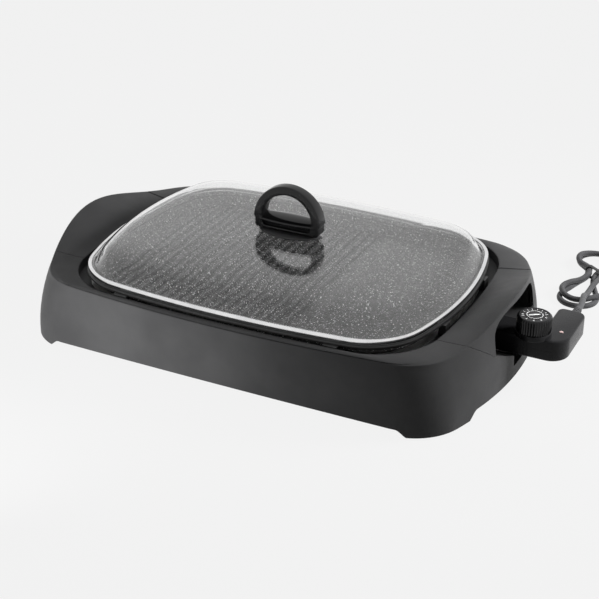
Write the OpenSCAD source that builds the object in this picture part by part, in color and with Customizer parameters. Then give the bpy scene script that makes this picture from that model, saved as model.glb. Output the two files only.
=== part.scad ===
// Electric indoor grill: a moulded base with two end handles, a lift-out grill plate,
// a lift-off glass lid and a plug-in heat controller on its supply cord.
// Millimetres. +X runs to the controller's end, +Z is up, and the origin lies on the
// worktop under the middle of the base.

/* [Base housing] */
// Length over the two ends at the top edge
base_len = 476; // [460:1:492]
// Depth over the two sides at the top edge
base_dep = 300; // [292:1:312]
// Height of the top edge along the sides
base_h = 67; // [64:1:72]
// Bow of each end
end_bow = 19.4; // [14:0.2:22]
// Bow of each side
side_bow = 9.4; // [7:0.2:11]
// Radius of the corners at the top edge
corner_r = 58.5; // [54:0.5:62]
// Wall thickness of the mouldings
wall = 2.8; // [2.2:0.1:3.2]
// Spread of the wall between top edge and foot at the ends
foot_out_end = 6; // [4:0.5:9]
// Spread of the wall between top edge and foot at the sides
foot_out_side = 1; // [0:0.5:4]
// Radius of the corners at the foot
foot_corner_r = 54.4; // [50:0.5:58]
// Height of the skirt's lower edge along the sides
skirt_side = 8; // [5:0.5:9]
// Height of the skirt's lower edge along the ends
skirt_end = 9; // [5:0.5:9.5]
// Length of side that each corner foot takes
foot_side_len = 52; // [40:1:60]
// Length of end that each corner foot takes
foot_end_len = 58; // [45:1:64]
// Diameter of a rubber foot
pad_d = 16; // [12:1:20]
// Height that a rubber foot stands out
pad_h = 1.2; // [0.8:0.1:2]

/* [Handles] */
// Height by which the middle of a handle stands over the side's top edge
handle_rise = 21; // [14:1:24]
// Half the width of a handle at its seams
seam_half = 87; // [80:1:92]
// Half the width of the hand hole
grip_half = 54; // [48:1:58]
// Height of the hand hole's lower corners
grip_low = 49; // [46:1:52]
// Thickness of the handle's lip over the hand hole
grip_lip = 4; // [3:0.5:6]
// Depth of the hand hole behind the handle's edge
grip_depth = 29; // [24:1:31]
// Gap at every moulding seam
seam_gap = 0.25; // [0.15:0.05:0.4]

/* [Opening and ledge] */
// Width of the top deck at the middle of an end
deck_end = 43.5; // [40:0.5:46]
// Width of the top deck at the middle of a side
deck_side = 8.3; // [7:0.1:9.5]
// Height of the opening's edge over the side's top edge
deck_up = 1.3; // [0.5:0.1:2.5]
// Radius of the opening's corners
opening_r = 68.5; // [65:0.5:70]
// Bow of the opening's edges
opening_bow = 3.8; // [2.5:0.1:5]
// Depth of the ledge below the opening's edge
ledge_down = 10.3; // [9:0.1:11]
// Thickness of the ledge
ledge_t = 2.5; // [2:0.1:3]

/* [Grill plate] */
// Gap between the lid's rim and the opening at the middle of an end
lid_gap_end = 5.6; // [4.6:0.1:7]
// Gap between the lid's rim and the opening at the middle of a side
lid_gap_side = 2.4; // [2:0.1:3]
// Height of the plate's flange top over the opening's edge
plate_up = 3.2; // [2.5:0.1:4]
// Thickness of the plate's flange
flange_t = 3; // [2.5:0.1:4]
// Depth of the cooking surface below the flange top
plate_depth = 13.5; // [11.5:0.5:14.5]
// Thickness of the plate's floor
plate_t = 3.5; // [3:0.1:5]
// Number of ribs
rib_n = 20; // [14:1:22]
// Distance between ribs
rib_pitch = 10.4; // [9.6:0.1:11]
// Width of a rib at its foot
rib_w = 5; // [4:0.1:6]
// Height of a rib
rib_h = 3; // [2:0.1:4]
// Length of a drain slot
drain_len = 26; // [20:1:34]
// Width of a drain slot
drain_w = 4; // [3:0.1:5]

/* [Lid] */
// Height of the lid's steel rim
rim_h = 5.7; // [5.2:0.1:7]
// Width of the lid's steel rim
rim_w = 5; // [4.4:0.1:6]
// Thickness of the rim's steel
rim_t = 0.8; // [0.6:0.1:1]
// Thickness of the glass
glass_t = 3.4; // [3:0.1:3.8]
// Height of the glass's crown over its edge
dome_h = 24; // [18:1:30]
// Outer radius of the handle's loop
loop_r = 36; // [32:0.5:42]
// Thickness of the loop seen from the front
loop_t = 7.5; // [6:0.5:9]
// Depth of the loop
loop_dep = 16; // [12:0.5:20]
// Height of the loop's centre over the glass
loop_up = 10; // [8:0.5:14]
// Height of the cross bar over the seat
bar_h = 13; // [9:0.5:15]
// Depth of the seat under the loop
seat_dep = 34; // [28:1:40]
// Height of the seat
seat_h = 5; // [4:0.5:7]
// Diameter of the lid handle's screw
lid_screw_d = 5; // [4:0.5:6]

/* [Heating] */
// Diameter of the heating tube
tube_d = 6.5; // [5.5:0.5:8]
// Radius of the tube's bends
tube_bend = 15; // [12:1:18]
// Distance between the two terminal pins
pin_gap = 20; // [18.5:0.5:21]
// Diameter of a terminal pin
pin_d = 5; // [4:0.1:5.4]
// Depth of the drip tray
tray_h = 13; // [9:1:16]
// Thickness of the sheet metal
sheet_t = 1; // [0.8:0.1:1.4]
// Width of a support strip
strip_w = 14; // [10:1:20]

/* [Controller] */
// Width of the controller's nose
nose_w = 32.4; // [31:0.2:36]
// Height of the controller's case
case_h = 21; // [19.6:0.2:24]
// Height of the controller's underside over the worktop
case_low = 33; // [31:0.5:34.5]
// Distance that the nose reaches inside the handle's edge
nose_in = 25; // [20:0.5:26]
// Distance that the case stands out from the handle's edge
case_out = 51; // [47:0.5:56]
// Width of the arm that carries the cord
arm_w = 27; // [25:0.5:30]
// Length of the arm behind the nose
arm_len = 39; // [34:1:46]
// Thickness of the controller's case
case_t = 2.2; // [1.8:0.1:2.6]
// Diameter of the dial
dial_d = 32.6; // [28:0.2:34]
// Height of the dial
dial_h = 15; // [12:0.5:18]
// Height of the collar under the dial
collar_h = 4.4; // [3.6:0.1:6]
// Diameter of the dial's shaft
shaft_d = 6; // [5:0.1:7]
// Diameter of the probe
probe_d = 6; // [5:0.1:7]
// Length of the probe beyond the nose
probe_len = 68; // [56:1:74]
// Radial clearance of pins, shafts and probe in their holes
run_gap = 0.06; // [0.03:0.01:0.1]

/* [Supply cord] */
// Diameter of the cord
cord_d = 6; // [5:0.2:7]
// Length of the strain relief
relief_len = 28; // [24:1:32]

/* [Hidden] */
$fn = 48;

charcoal = [0.19, 0.19, 0.20];
black = [0.05, 0.05, 0.055];
steel = [0.75, 0.75, 0.76];
stone = [0.32, 0.32, 0.33];
ceramic = [0.86, 0.84, 0.78];
brass = [0.78, 0.62, 0.32];

// An outline is a list: half length, half depth, end bow, side bow and corner radius.
top_edge = [base_len / 2, base_dep / 2, end_bow, side_bow, corner_r];
foot_edge = [base_len / 2 + foot_out_end, base_dep / 2 + foot_out_side,
    end_bow - 3, side_bow - 8.2, foot_corner_r];
opening = [base_len / 2 - deck_end, base_dep / 2 - deck_side,
    opening_bow, opening_bow, opening_r];
lid_edge = [opening[0] - lid_gap_end, opening[1] - lid_gap_side,
    opening_bow + 5.4, opening_bow + 2.7, opening_r - 5.1];

open_z = base_h + deck_up;
ledge_z = open_z - ledge_down;
flange_z = open_z + plate_up;
floor_z = flange_z - plate_depth;
under_z = floor_z - plate_t;
rise_reach = 125;
cover_z = 10;
cover_t = 2.5;
post_z = cover_z + cover_t;
pad_embed = 3;

case_mid = case_low + case_h / 2;
case_top = case_low + case_h;
back_wall_x = base_len / 2 - grip_depth;
nose_x = base_len / 2 - nose_in;
case_x = base_len / 2 + case_out;
tube_z = under_z - 1.1 - tube_d / 2;
strip_z = tube_z - tube_d / 2 - 1.5;
shield_z = post_z + 4;
dial_x = base_len / 2 + 18;
dial_y = -7;
dial_z = case_top + collar_h + 0.3;
exit_x = case_x - arm_w / 2 - 1;
exit_y = nose_w / 2 + arm_len;

END_STEPS = 5;
CORNER_STEPS = 5;
SIDE_STEPS = 4;
RING_N = 4 * (END_STEPS + CORNER_STEPS + SIDE_STEPS);

// Points of an outline's first quarter, offset outwards by d.
function arc_radius(half, bow) = (half * half + bow * bow) / (2 * bow);
function quarter(o, d) =
    let (cx = o[0] - o[4] - o[2], cy = o[1] - o[4] - o[3],
        re = arc_radius(cy, o[2]), rs = arc_radius(cx, o[3]),
        te = asin(cy / re), ts = asin(cx / rs), r = o[4] + d)
    concat(
        [for (i = [0:END_STEPS - 1]) let (t = te * i / END_STEPS)
            [cx + o[2] - re + (re + r) * cos(t), (re + r) * sin(t)]],
        [for (i = [0:CORNER_STEPS - 1]) let (t = te + (90 - ts - te) * i / CORNER_STEPS)
            [cx + r * cos(t), cy + r * sin(t)]],
        [for (i = [0:SIDE_STEPS - 1]) let (t = 90 - ts + ts * i / SIDE_STEPS)
            [(rs + r) * cos(t), cy + o[3] - rs + (rs + r) * sin(t)]]);

// The whole outline, anticlockwise from the middle of the +X end.
function outline(o, d = 0) =
    let (q = quarter(o, d), n = len(q), top = [0, o[1] + d], right = [o[0] + d, 0])
    concat(q, [top], [for (i = [n - 1:-1:1]) [-q[i].x, q[i].y]],
        [-right], [for (i = [1:n - 1]) -q[i]], [-top],
        [for (i = [n - 1:-1:1]) [q[i].x, -q[i].y]]);

function at_z(points, z) = [for (p = points) [p.x, p.y, z]];
function shrink(points, s, z) = [for (p = points) [p.x * s, p.y * s, z]];
function rise_at(y) = abs(y) < rise_reach ? pow(cos(90 * y / rise_reach), 2) : 0;
function crease_z(y) = base_h + handle_rise * rise_at(y);
function end_x(o, y, d = 0) =
    let (cy = o[1] - o[4] - o[3], re = arc_radius(cy, o[2]), r = re + o[4] + d)
    o[0] + d - r + sqrt(r * r - y * y);
function deck_z(x, y) =
    let (a = end_x(opening, y), b = end_x(top_edge, y))
    open_z + (crease_z(y) - open_z) * (x - a) / (b - a);

// A ring on the sloping wall, at the share t of the way up from the foot.
function wall_ring(t, d, drop = 0) =
    let (top = outline(top_edge, d), foot = outline(foot_edge, d))
    [for (i = [0:RING_N - 1]) let (p = top[i] + (foot[i] - top[i]) * (1 - t * t))
        [p.x, p.y, pad_h + (crease_z(top[i].y) - drop - pad_h) * t]];
function crease_ring(d, down) =
    [for (p = outline(top_edge, d)) [p.x, p.y, crease_z(p.y) - down]];
function deck_ring(s, up) =
    let (a = crease_ring(0, 0), b = at_z(outline(opening), open_z))
    [for (i = [0:RING_N - 1]) a[i] + (b[i] - a[i]) * s + [0, 0, up]];

function side_faces(rings, closed) =
    [for (k = [0:len(rings) - (closed ? 1 : 2)], i = [0:len(rings[0]) - 1], h = [0, 1])
        let (n = len(rings[0]), m = (k + 1) % len(rings), j = (i + 1) % n,
            a = k * n + i, b = k * n + j, c = m * n + j, d = m * n + i)
        h == 0 ? [a, d, c] : [a, c, b]];
function all_points(rings) = [for (r = rings) for (p = r) p];

// A hollow ring of material: the section runs up outside, over and down inside.
module loop_loft(rings) {
    polyhedron(all_points(rings), side_faces(rings, true));
}

// A closed body through the rings, with a flat cap at each end.
module stack_loft(rings) {
    n = len(rings[0]);
    last = (len(rings) - 1) * n;
    polyhedron(all_points(rings), concat(side_faces(rings, false),
        [[for (i = [0:n - 1]) i]], [[for (i = [n - 1:-1:0]) last + i]]));
}

// A flat band between two offsets of one outline.
module band(o, d_out, d_in, z0, z1) {
    translate([0, 0, z0]) linear_extrude(z1 - z0) difference() {
        polygon(outline(o, d_out));
        polygon(outline(o, d_in));
    }
}

// Extrudes a profile drawn in Y and Z along +X from x0 to x1.
module along_x(x0, x1) {
    translate([x0, 0, 0]) rotate([90, 0, 90]) linear_extrude(x1 - x0) children();
}

// Extrudes a profile drawn in X and Z along Y, over both sides of the base.
module along_y(half) {
    translate([0, half, 0]) rotate([90, 0, 0]) linear_extrude(2 * half) children();
}

module at_corners(x, y) {
    for (i = [-1, 1], j = [-1, 1]) translate([i * x, j * y, 0]) children();
}

// ---- base ----

corner_x = lid_edge[0] - lid_edge[4] - lid_edge[2];
corner_y = lid_edge[1] - lid_edge[4] - lid_edge[3];
post_x = corner_x + (lid_edge[4] + 5) * cos(45);
post_y = corner_y + (lid_edge[4] + 5) * sin(45);
post_r = 5.5;
mid_post_y = opening[1] - 2.6;
mid_post_r = 4.2;
screw_r = 1.5;
pilot_r = screw_r + run_gap;
boss_x = back_wall_x - 3;
boss_y = (seam_half + grip_half) / 2;
boss_r = 4.8;
boss_z = grip_low + 3;
foot_in = (foot_corner_r - wall - pad_d / 2) * cos(45);
foot_x = foot_edge[0] - foot_corner_r - foot_edge[2] + foot_in;
foot_y = foot_edge[1] - foot_corner_r - foot_edge[3] + foot_in;
notch_half = nose_w / 2 + 0.9;
notch_z = case_low - 12;
nose_gap = 1;
port_half = nose_w / 2 + 3;
probe_y = pin_gap / 2;

module base_shell() {
    loop_loft([
        wall_ring(0, 0), wall_ring(0.35, 0), wall_ring(0.7, 0),
        crease_ring(0, 1), crease_ring(-1, 0), deck_ring(0.5, 0.9),
        at_z(outline(opening, 1), open_z), at_z(outline(opening), open_z - 1),
        at_z(outline(opening), ledge_z), at_z(outline(lid_edge, -6), ledge_z),
        at_z(outline(lid_edge, -6), ledge_z - ledge_t),
        at_z(outline(opening, wall), ledge_z - ledge_t),
        at_z(outline(opening, wall), open_z - wall),
        deck_ring(0.5, 0.9 - wall), crease_ring(-wall - 0.4, wall),
        wall_ring(0.7, -wall, wall), wall_ring(0.35, -wall, wall),
        wall_ring(0, -wall, wall)
    ]);
}

// The space inside the outer wall, without a deck, drawn in by d.
module wall_space(d) {
    stack_loft([wall_ring(0, -d), wall_ring(0.35, -d), wall_ring(0.7, -d),
        crease_ring(-d, 0.2), at_z(outline(top_edge, -d), base_h + 40)]);
}

function grip_top(y) = crease_z(0) - grip_lip - 24
    + 24 * pow(1 - pow(abs(y) / grip_half, 3), 1 / 3);
module grip_profile() {
    polygon(concat([for (i = [-12:12]) let (y = grip_half * i / 12) [y, grip_top(y)]],
        [[grip_half, grip_low], [notch_half, case_low - 1],
            [-notch_half, case_low - 1], [-grip_half, grip_low]]));
}
module handle_profile(g) {
    seam_z = crease_z(seam_half) - 0.5 + g;
    polygon([[-seam_half + g, base_h + 60], [-seam_half + g, seam_z],
        [-grip_half - 2, grip_low + g], [grip_half + 2, grip_low + g],
        [seam_half - g, seam_z], [seam_half - g, base_h + 60]]);
}

// Everything that belongs to the +X end handle, pulled back by g on its seams.
module handle_zone(g) {
    difference() {
        along_x(base_len / 4, base_len) handle_profile(g);
        translate([0, 0, open_z - wall - 0.3 + g - 60])
            linear_extrude(60) polygon(outline(opening, wall + 0.3 + g));
    }
}

// The recess behind a hand hole: its floor joins the outer wall, and its sides and back
// stand free under the handle.
module scoop_block() {
    side = grip_half + wall;
    intersection() {
        wall_space(0.2);
        along_x(back_wall_x - wall, base_len) polygon([
            [-side, grip_low], [-side, grip_low - wall],
            [-notch_half - wall, case_low - 1 - wall], [-notch_half - wall, post_z],
            [notch_half + wall, post_z], [notch_half + wall, case_low - 1 - wall],
            [side, grip_low - wall], [side, grip_low]]);
    }
    intersection() {
        wall_space(wall + 1.5);
        along_x(back_wall_x - wall, base_len)
            translate([-side, grip_low - 1]) square([2 * side, open_z - grip_low + 0.4]);
    }
}

module screw_post(r, z0, z1) {
    translate([0, 0, z0]) cylinder(r = r, h = z1 - z0);
}

module skirt_cut(half, side_len, up, reach) {
    run = 7;
    edge = half - side_len;
    profile = concat(
        [for (i = [0:6]) [edge + run * (1 - i / 3), up * (1 - cos(30 * i)) / 2]],
        [for (i = [6:-1:0]) [-edge - run * (1 - i / 3), up * (1 - cos(30 * i)) / 2]]);
    polygon(concat([[edge + run, -1]], profile, [[-edge - run, -1]]));
}

module end_scoop(notch) {
    along_x(back_wall_x, base_len) grip_profile();
    if (notch) {
        translate([back_wall_x, -notch_half, notch_z])
            cube([base_len, 2 * notch_half, case_mid - notch_z]);
        translate([back_wall_x - 2 * wall, -port_half, case_low])
            cube([3 * wall, 2 * port_half, case_h]);
    }
}

module base_housing() {
    color(charcoal) difference() {
        union() {
            difference() {
                base_shell();
                handle_zone(0);
                mirror([1, 0, 0]) handle_zone(0);
            }
            scoop_block();
            mirror([1, 0, 0]) scoop_block();
            at_corners(post_x, post_y) screw_post(post_r, post_z, ledge_z - 1);
            for (s = [-1, 1]) translate([0, s * mid_post_y, 0])
                screw_post(mid_post_r, post_z, ledge_z - 1);
            at_corners(boss_x, boss_y) screw_post(boss_r, post_z, boss_z);
            at_corners(boss_x, (boss_y + grip_half) / 2)
                translate([-1.2, -(boss_y - grip_half) / 2, post_z])
                    cube([2.4, boss_y - grip_half, boss_z - post_z - 2]);
            at_corners(foot_x, foot_y) screw_post(pad_d / 2 + 1.6, pad_h, post_z);
        }
        end_scoop(true);
        mirror([1, 0, 0]) end_scoop(false);
        along_y(base_dep) skirt_cut(base_len / 2, foot_side_len, skirt_side);
        along_x(-base_len, base_len) skirt_cut(base_dep / 2, foot_end_len, skirt_end);
        at_corners(post_x, post_y) screw_post(pilot_r, post_z - 1, post_z + 22);
        for (s = [-1, 1]) translate([0, s * mid_post_y, 0])
            screw_post(pilot_r, post_z - 1, post_z + 22);
        at_corners(boss_x, boss_y) {
            screw_post(pilot_r + 0.3, post_z - 1, boss_z + 1);
            screw_post(3.4, post_z - 1, boss_z - 12);
        }
        at_corners(foot_x, foot_y) screw_post(pad_d / 2, 0, pad_h + pad_embed);
        for (s = [-1, 1]) translate([block_x - 1, s * block_screw_y, block_screw_z])
            rotate([0, 90, 0]) cylinder(r = pilot_r, h = 3.4);
    }
}

module end_handle() {
    color(charcoal) difference() {
        union() {
            difference() {
                intersection() {
                    base_shell();
                    handle_zone(seam_gap);
                }
                difference() {
                    along_x(back_wall_x - 10, base_len) grip_profile();
                    wall_space(wall + 1.2);
                }
            }
            for (s = [-1, 1]) translate([boss_x, s * boss_y, 0])
                screw_post(boss_r, boss_z, deck_z(boss_x, boss_y) - wall / 2);
        }
        for (s = [-1, 1]) translate([boss_x, s * boss_y, 0])
            screw_post(pilot_r, boss_z - 1, boss_z + 12);
    }
}

module right_handle() {
    end_handle();
}

module left_handle() {
    mirror([1, 0, 0]) end_handle();
}

module vent_slots() {
    for (i = [-6:6], j = [-1, 1]) translate([i * 22, j * 52, cover_z - 1])
        linear_extrude(cover_t + 2) union() {
            square([5, 50], center = true);
            for (s = [-1, 1]) translate([0, s * 25]) circle(d = 5);
        }
}

module bottom_cover() {
    color(black) difference() {
        translate([0, 0, cover_z]) linear_extrude(cover_t)
            polygon(outline(foot_edge, -wall - 1.2));
        at_corners(foot_x, foot_y) screw_post(pad_d / 2 + 2, cover_z - 1, post_z + 1);
        vent_slots();
        at_corners(post_x, post_y) screw_post(pilot_r + 0.2, cover_z - 1, post_z + 1);
        for (s = [-1, 1]) translate([0, s * mid_post_y, 0])
            screw_post(pilot_r + 0.2, cover_z - 1, post_z + 1);
        at_corners(boss_x, boss_y) screw_post(3.6, cover_z - 1, post_z + 1);
    }
}

module rubber_feet() {
    color(black) at_corners(foot_x, foot_y) screw_post(pad_d / 2, 0, pad_h + pad_embed);
}

// A pan-head screw standing on its head at the origin, with its shank upwards.
module screw(shank_r, shank_len, head_r, head_h) {
    difference() {
        union() {
            translate([0, 0, -head_h]) cylinder(r = head_r, h = head_h);
            cylinder(r = shank_r, h = shank_len);
        }
        for (a = [0, 90]) rotate([0, 0, a]) translate([-head_r / 2, -0.4, -head_h - 1])
            cube([head_r, 0.8, 1 + head_h / 2]);
    }
}

module base_screws() {
    color(steel) {
        at_corners(post_x, post_y) translate([0, 0, cover_z]) screw(screw_r, 20, 3.2, 1.6);
        for (s = [-1, 1]) translate([0, s * mid_post_y, cover_z])
            screw(screw_r, 20, 3.2, 1.6);
    }
}

module handle_screws() {
    color(steel) at_corners(boss_x, boss_y) translate([0, 0, boss_z - 12])
        screw(screw_r, 22, 3, 2);
}

// ---- heating ----

shield_in = -9;
tray_in = -16;
tube_room = 28.9;
tube_far = lid_edge[0] + shield_in - sheet_t - tube_room;
tube_near = tube_far;
tube_turn = tube_near - 2 * tube_bend - 8;
tube_side = base_dep / 2 - 65;
tube_mid = 30;
block_x = back_wall_x - wall;
block_t = 9;
tube_end = block_x - block_t - 6;
drop_bend = 14;
drop = tube_z - case_mid;
drop_way = drop < 0 ? -1 : 1;
drop_turn = acos(1 - abs(drop) / (2 * drop_bend));
drop_run = drop_bend * sin(drop_turn);
drop_x = tube_end - 6 - 2 * drop_run;

function unit(v) = v / norm(v);
function tangent(pts, i) = unit(pts[min(i + 1, len(pts) - 1)] - pts[max(i - 1, 0)]);
function tube_ring(pts, i, d, n = 8) =
    let (t = tangent(pts, i), u = unit(cross(t, [0, 0, 1])), v = cross(u, t))
    [for (k = [0:n - 1]) let (a = 360 * k / n)
        pts[i] + (u * cos(a) + v * sin(a)) * d / 2];

module heat_shield() {
    color(steel) difference() {
        union() {
            translate([0, 0, shield_z]) linear_extrude(sheet_t)
                polygon(outline(lid_edge, shield_in));
            band(lid_edge, shield_in, shield_in - sheet_t, shield_z, ledge_z + sheet_t);
            band(lid_edge, -2, shield_in - 0.5, ledge_z, ledge_z + sheet_t);
        }
        translate([lid_edge[0] - 30, -port_half, case_low + 2])
            cube([60, 2 * port_half, ledge_z - ledge_t - case_low - 3]);
    }
}

module drip_tray() {
    z = shield_z + sheet_t;
    color([0.12, 0.12, 0.13]) {
        translate([0, 0, z]) linear_extrude(sheet_t) polygon(outline(lid_edge, tray_in));
        band(lid_edge, tray_in, tray_in - sheet_t, z, z + tray_h + sheet_t);
        band(lid_edge, tray_in + 3, tray_in - 0.5, z + tray_h, z + tray_h + sheet_t);
    }
}

// Points of an arc with n steps, in the plane at height z.
function arc(c, r, a, b, n, z) =
    [for (i = [0:n]) let (t = a + (b - a) * i / n) [c.x + r * cos(t), c.y + r * sin(t), z]];

// The tube's centre line from the front terminal to the middle of the inner turn.
half_path = let (b = tube_bend, s = tube_side, m = tube_mid, p = pin_gap / 2, c = drop_bend)
    concat(
        [[tube_end, -p, case_mid]],
        [for (i = [0:2]) let (t = 270 - drop_turn * i / 2)
            [tube_end - 6 + c * cos(t), -p, case_mid + drop_way * c * (1 + sin(t))]],
        [for (i = [1:2]) let (t = 90 - drop_turn * (1 - i / 2))
            [drop_x + c * cos(t), -p, tube_z - drop_way * c * (1 - sin(t))]],
        arc([tube_near + b, -p - b], b, 90, 180, 3, tube_z),
        arc([tube_near - b, b - s], b, 0, -90, 3, tube_z),
        arc([b - tube_far, b - s], b, -90, -180, 3, tube_z),
        arc([b - tube_far, -m - b], b, 180, 90, 3, tube_z),
        arc([tube_turn - b, b - m], b, -90, 0, 3, tube_z));

module heating_element() {
    n = len(half_path);
    path = concat(half_path,
        [for (i = [n - 1:-1:0]) [half_path[i].x, -half_path[i].y, half_path[i].z]]);
    color([0.35, 0.33, 0.32])
        stack_loft([for (i = [0:len(path) - 1]) tube_ring(path, i, tube_d)]);
}

strip_xs = [40 - tube_far, -20, tube_far - 80];
weld = 0.3;
function side_y(x, d) = let (cx = corner_x, rs = arc_radius(cx, lid_edge[3]),
    r = rs + lid_edge[4] + d) lid_edge[1] + d - r + sqrt(r * r - x * x);
module element_supports() {
    color(steel) for (x = strip_xs) {
        far = side_y(abs(x) + strip_w / 2, shield_in - sheet_t) + weld;
        translate([x - strip_w / 2, -far, strip_z]) cube([strip_w, 2 * far, 1.5]);
        for (s = [-1, 1]) translate([x - strip_w / 2, s * (far - 0.6) - 0.6, strip_z - 9])
            cube([strip_w, 1.2, 9]);
    }
}

module element_clips() {
    clip_t = 0.7;
    r = tube_d / 2;
    color(steel) for (x = strip_xs, y = [-tube_side, -tube_mid, tube_mid, tube_side])
        translate([x - 4, y, 0]) along_x(0, 8) difference() {
            union() {
                translate([0, tube_z]) circle(r = r + clip_t);
                translate([-r - clip_t, strip_z + 1.5])
                    square([2 * (r + clip_t), tube_z - strip_z - 1.5]);
                translate([-r - 4, strip_z + 1.5]) square([2 * r + 8, clip_t]);
            }
            translate([0, tube_z]) circle(r = r + 0.05);
            translate([-r - 0.05, strip_z])
                square([2 * r + 0.1, tube_z - strip_z]);
        }
}

block_half = port_half + 6;
block_screw_y = block_half - 3.2;
block_screw_z = case_low + 3;
module terminal_block() {
    color(ceramic) difference() {
        union() {
            translate([block_x - 3, -block_half, case_low - 4])
                cube([3, 2 * block_half, case_h + 7]);
            translate([block_x - block_t, -port_half + 2, case_low + 2])
                cube([block_t, 2 * port_half - 4, case_h - 9]);
        }
        for (s = [-1, 1]) translate([block_x - block_t - 1, s * pin_gap / 2, case_mid])
            rotate([0, 90, 0]) cylinder(r = pin_d / 2 + run_gap, h = block_t + 2);
        translate([block_x - block_t - 1, 0, case_mid]) rotate([0, 90, 0])
            cylinder(d = probe_d + 2.46, h = block_t + 2);
        for (s = [-1, 1]) translate([block_x - 4, s * block_screw_y, block_screw_z])
            rotate([0, 90, 0]) cylinder(r = pilot_r + 0.2, h = 5);
    }
}

module terminal_pins() {
    color(steel) for (s = [-1, 1]) translate([tube_end, s * pin_gap / 2, case_mid])
        rotate([0, 90, 0]) {
            cylinder(d = pin_d, h = nose_x + 18 - tube_end);
            translate([0, 0, nose_x + 18 - tube_end]) sphere(d = pin_d);
        }
}

module terminal_screws() {
    color(steel) for (s = [-1, 1])
        translate([block_x - 3, s * block_screw_y, block_screw_z])
            rotate([0, 90, 0]) screw(screw_r, 5, 2.8, 1.6);
}

module probe_guide() {
    color(steel) translate([nose_x - probe_len - 4, 0, case_mid]) rotate([0, 90, 0])
        difference() {
            cylinder(d = probe_d + 2.4, h = block_x - nose_x + probe_len + 4);
            translate([0, 0, 1]) cylinder(d = probe_d + 0.8, h = 200);
        }
}

// ---- grill plate ----

rib_zone = -lid_edge[0] + 25;
function plate_x(y, d) = let (cx = corner_x, cy = corner_y,
    e = lid_edge[4] + d) abs(y) <= cy ? end_x(lid_edge, y, d)
    : cx + sqrt(max(0, e * e - pow(abs(y) - cy, 2)));
function plate_y(x, d) = abs(x) <= corner_x ? side_y(abs(x), d)
    : corner_y + sqrt(max(0, pow(lid_edge[4] + d, 2) - pow(abs(x) - corner_x, 2)));

module rib(x) {
    half = plate_y(x, -24);
    top = rib_w * 0.45;
    translate([x, 0, floor_z - 0.5]) {
        along_y(half) polygon([[-rib_w / 2, 0], [rib_w / 2, 0], [rib_w / 2, 0.5],
            [top / 2 + 0.3, rib_h + 0.2], [top / 4, rib_h + 0.5],
            [-top / 4, rib_h + 0.5], [-top / 2 - 0.3, rib_h + 0.2], [-rib_w / 2, 0.5]]);
    }
}

module plate_body() {
    tub = -10;
    stack_loft([
        at_z(outline(lid_edge, tub - 5), under_z),
        at_z(outline(lid_edge, tub - 2), under_z + 2),
        at_z(outline(lid_edge, tub), under_z + 7),
        at_z(outline(lid_edge, tub + 1), flange_z - flange_t),
        at_z(outline(lid_edge, 0.4), flange_z - flange_t),
        at_z(outline(lid_edge, 1), flange_z - flange_t + 0.6),
        at_z(outline(lid_edge, 1), flange_z - 0.6),
        at_z(outline(lid_edge, 0.4), flange_z),
        at_z(outline(lid_edge, -5.5), flange_z),
        at_z(outline(lid_edge, -7), flange_z - 1.4),
        at_z(outline(lid_edge, tub - 3), floor_z + 2.2),
        at_z(outline(lid_edge, tub - 5.5), floor_z)
    ]);
}

lug_x = 110;
lug_end_y = 52;
module plate_lugs() {
    z0 = ledge_z + sheet_t;
    for (s = [-1, 1], x = [-lug_x, lug_x]) {
        y = side_y(lug_x, -2.5);
        translate([x - 7, s * y - 2.5, z0]) cube([14, 5, flange_z - flange_t - z0 + 1]);
    }
    for (s = [-1, 1], e = [-1, 1]) {
        x = end_x(lid_edge, lug_end_y, -2);
        translate([e * x - 3.5, s * lug_end_y - 5, z0])
            cube([7, 10, flange_z - flange_t - z0 + 1]);
    }
}

module grill_plate() {
    color(stone) difference() {
        union() {
            plate_body();
            for (i = [0:rib_n - 1]) rib(rib_zone + 12 + i * rib_pitch);
            plate_lugs();
        }
        for (x = [-100, -48, 4]) translate([x, -plate_y(100, -18.5), under_z - 1])
            linear_extrude(plate_t + 2) union() {
                square([drain_len - drain_w, drain_w], center = true);
                for (s = [-1, 1]) translate([s * (drain_len - drain_w) / 2, 0])
                    circle(d = drain_w);
            }
    }
}

// ---- lid ----

rim_z = flange_z;
glass_edge_z = rim_z + (rim_h - glass_t) / 2;
glass_top_z = glass_edge_z + glass_t;
crown_z = glass_top_z + dome_h;

module lid_rim() {
    o = lid_edge;
    zt = rim_z + rim_h;
    color(steel) loop_loft([
        at_z(outline(o, -0.8), rim_z), at_z(outline(o, 0), rim_z + 0.8),
        at_z(outline(o, 0), zt - 1), at_z(outline(o, -1), zt),
        at_z(outline(o, -rim_w), zt), at_z(outline(o, -rim_w), glass_top_z + 0.05),
        at_z(outline(o, -rim_t), glass_top_z + 0.05),
        at_z(outline(o, -rim_t), glass_edge_z - 0.05),
        at_z(outline(o, -rim_w), glass_edge_z - 0.05), at_z(outline(o, -rim_w), rim_z)
    ]);
}

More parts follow.
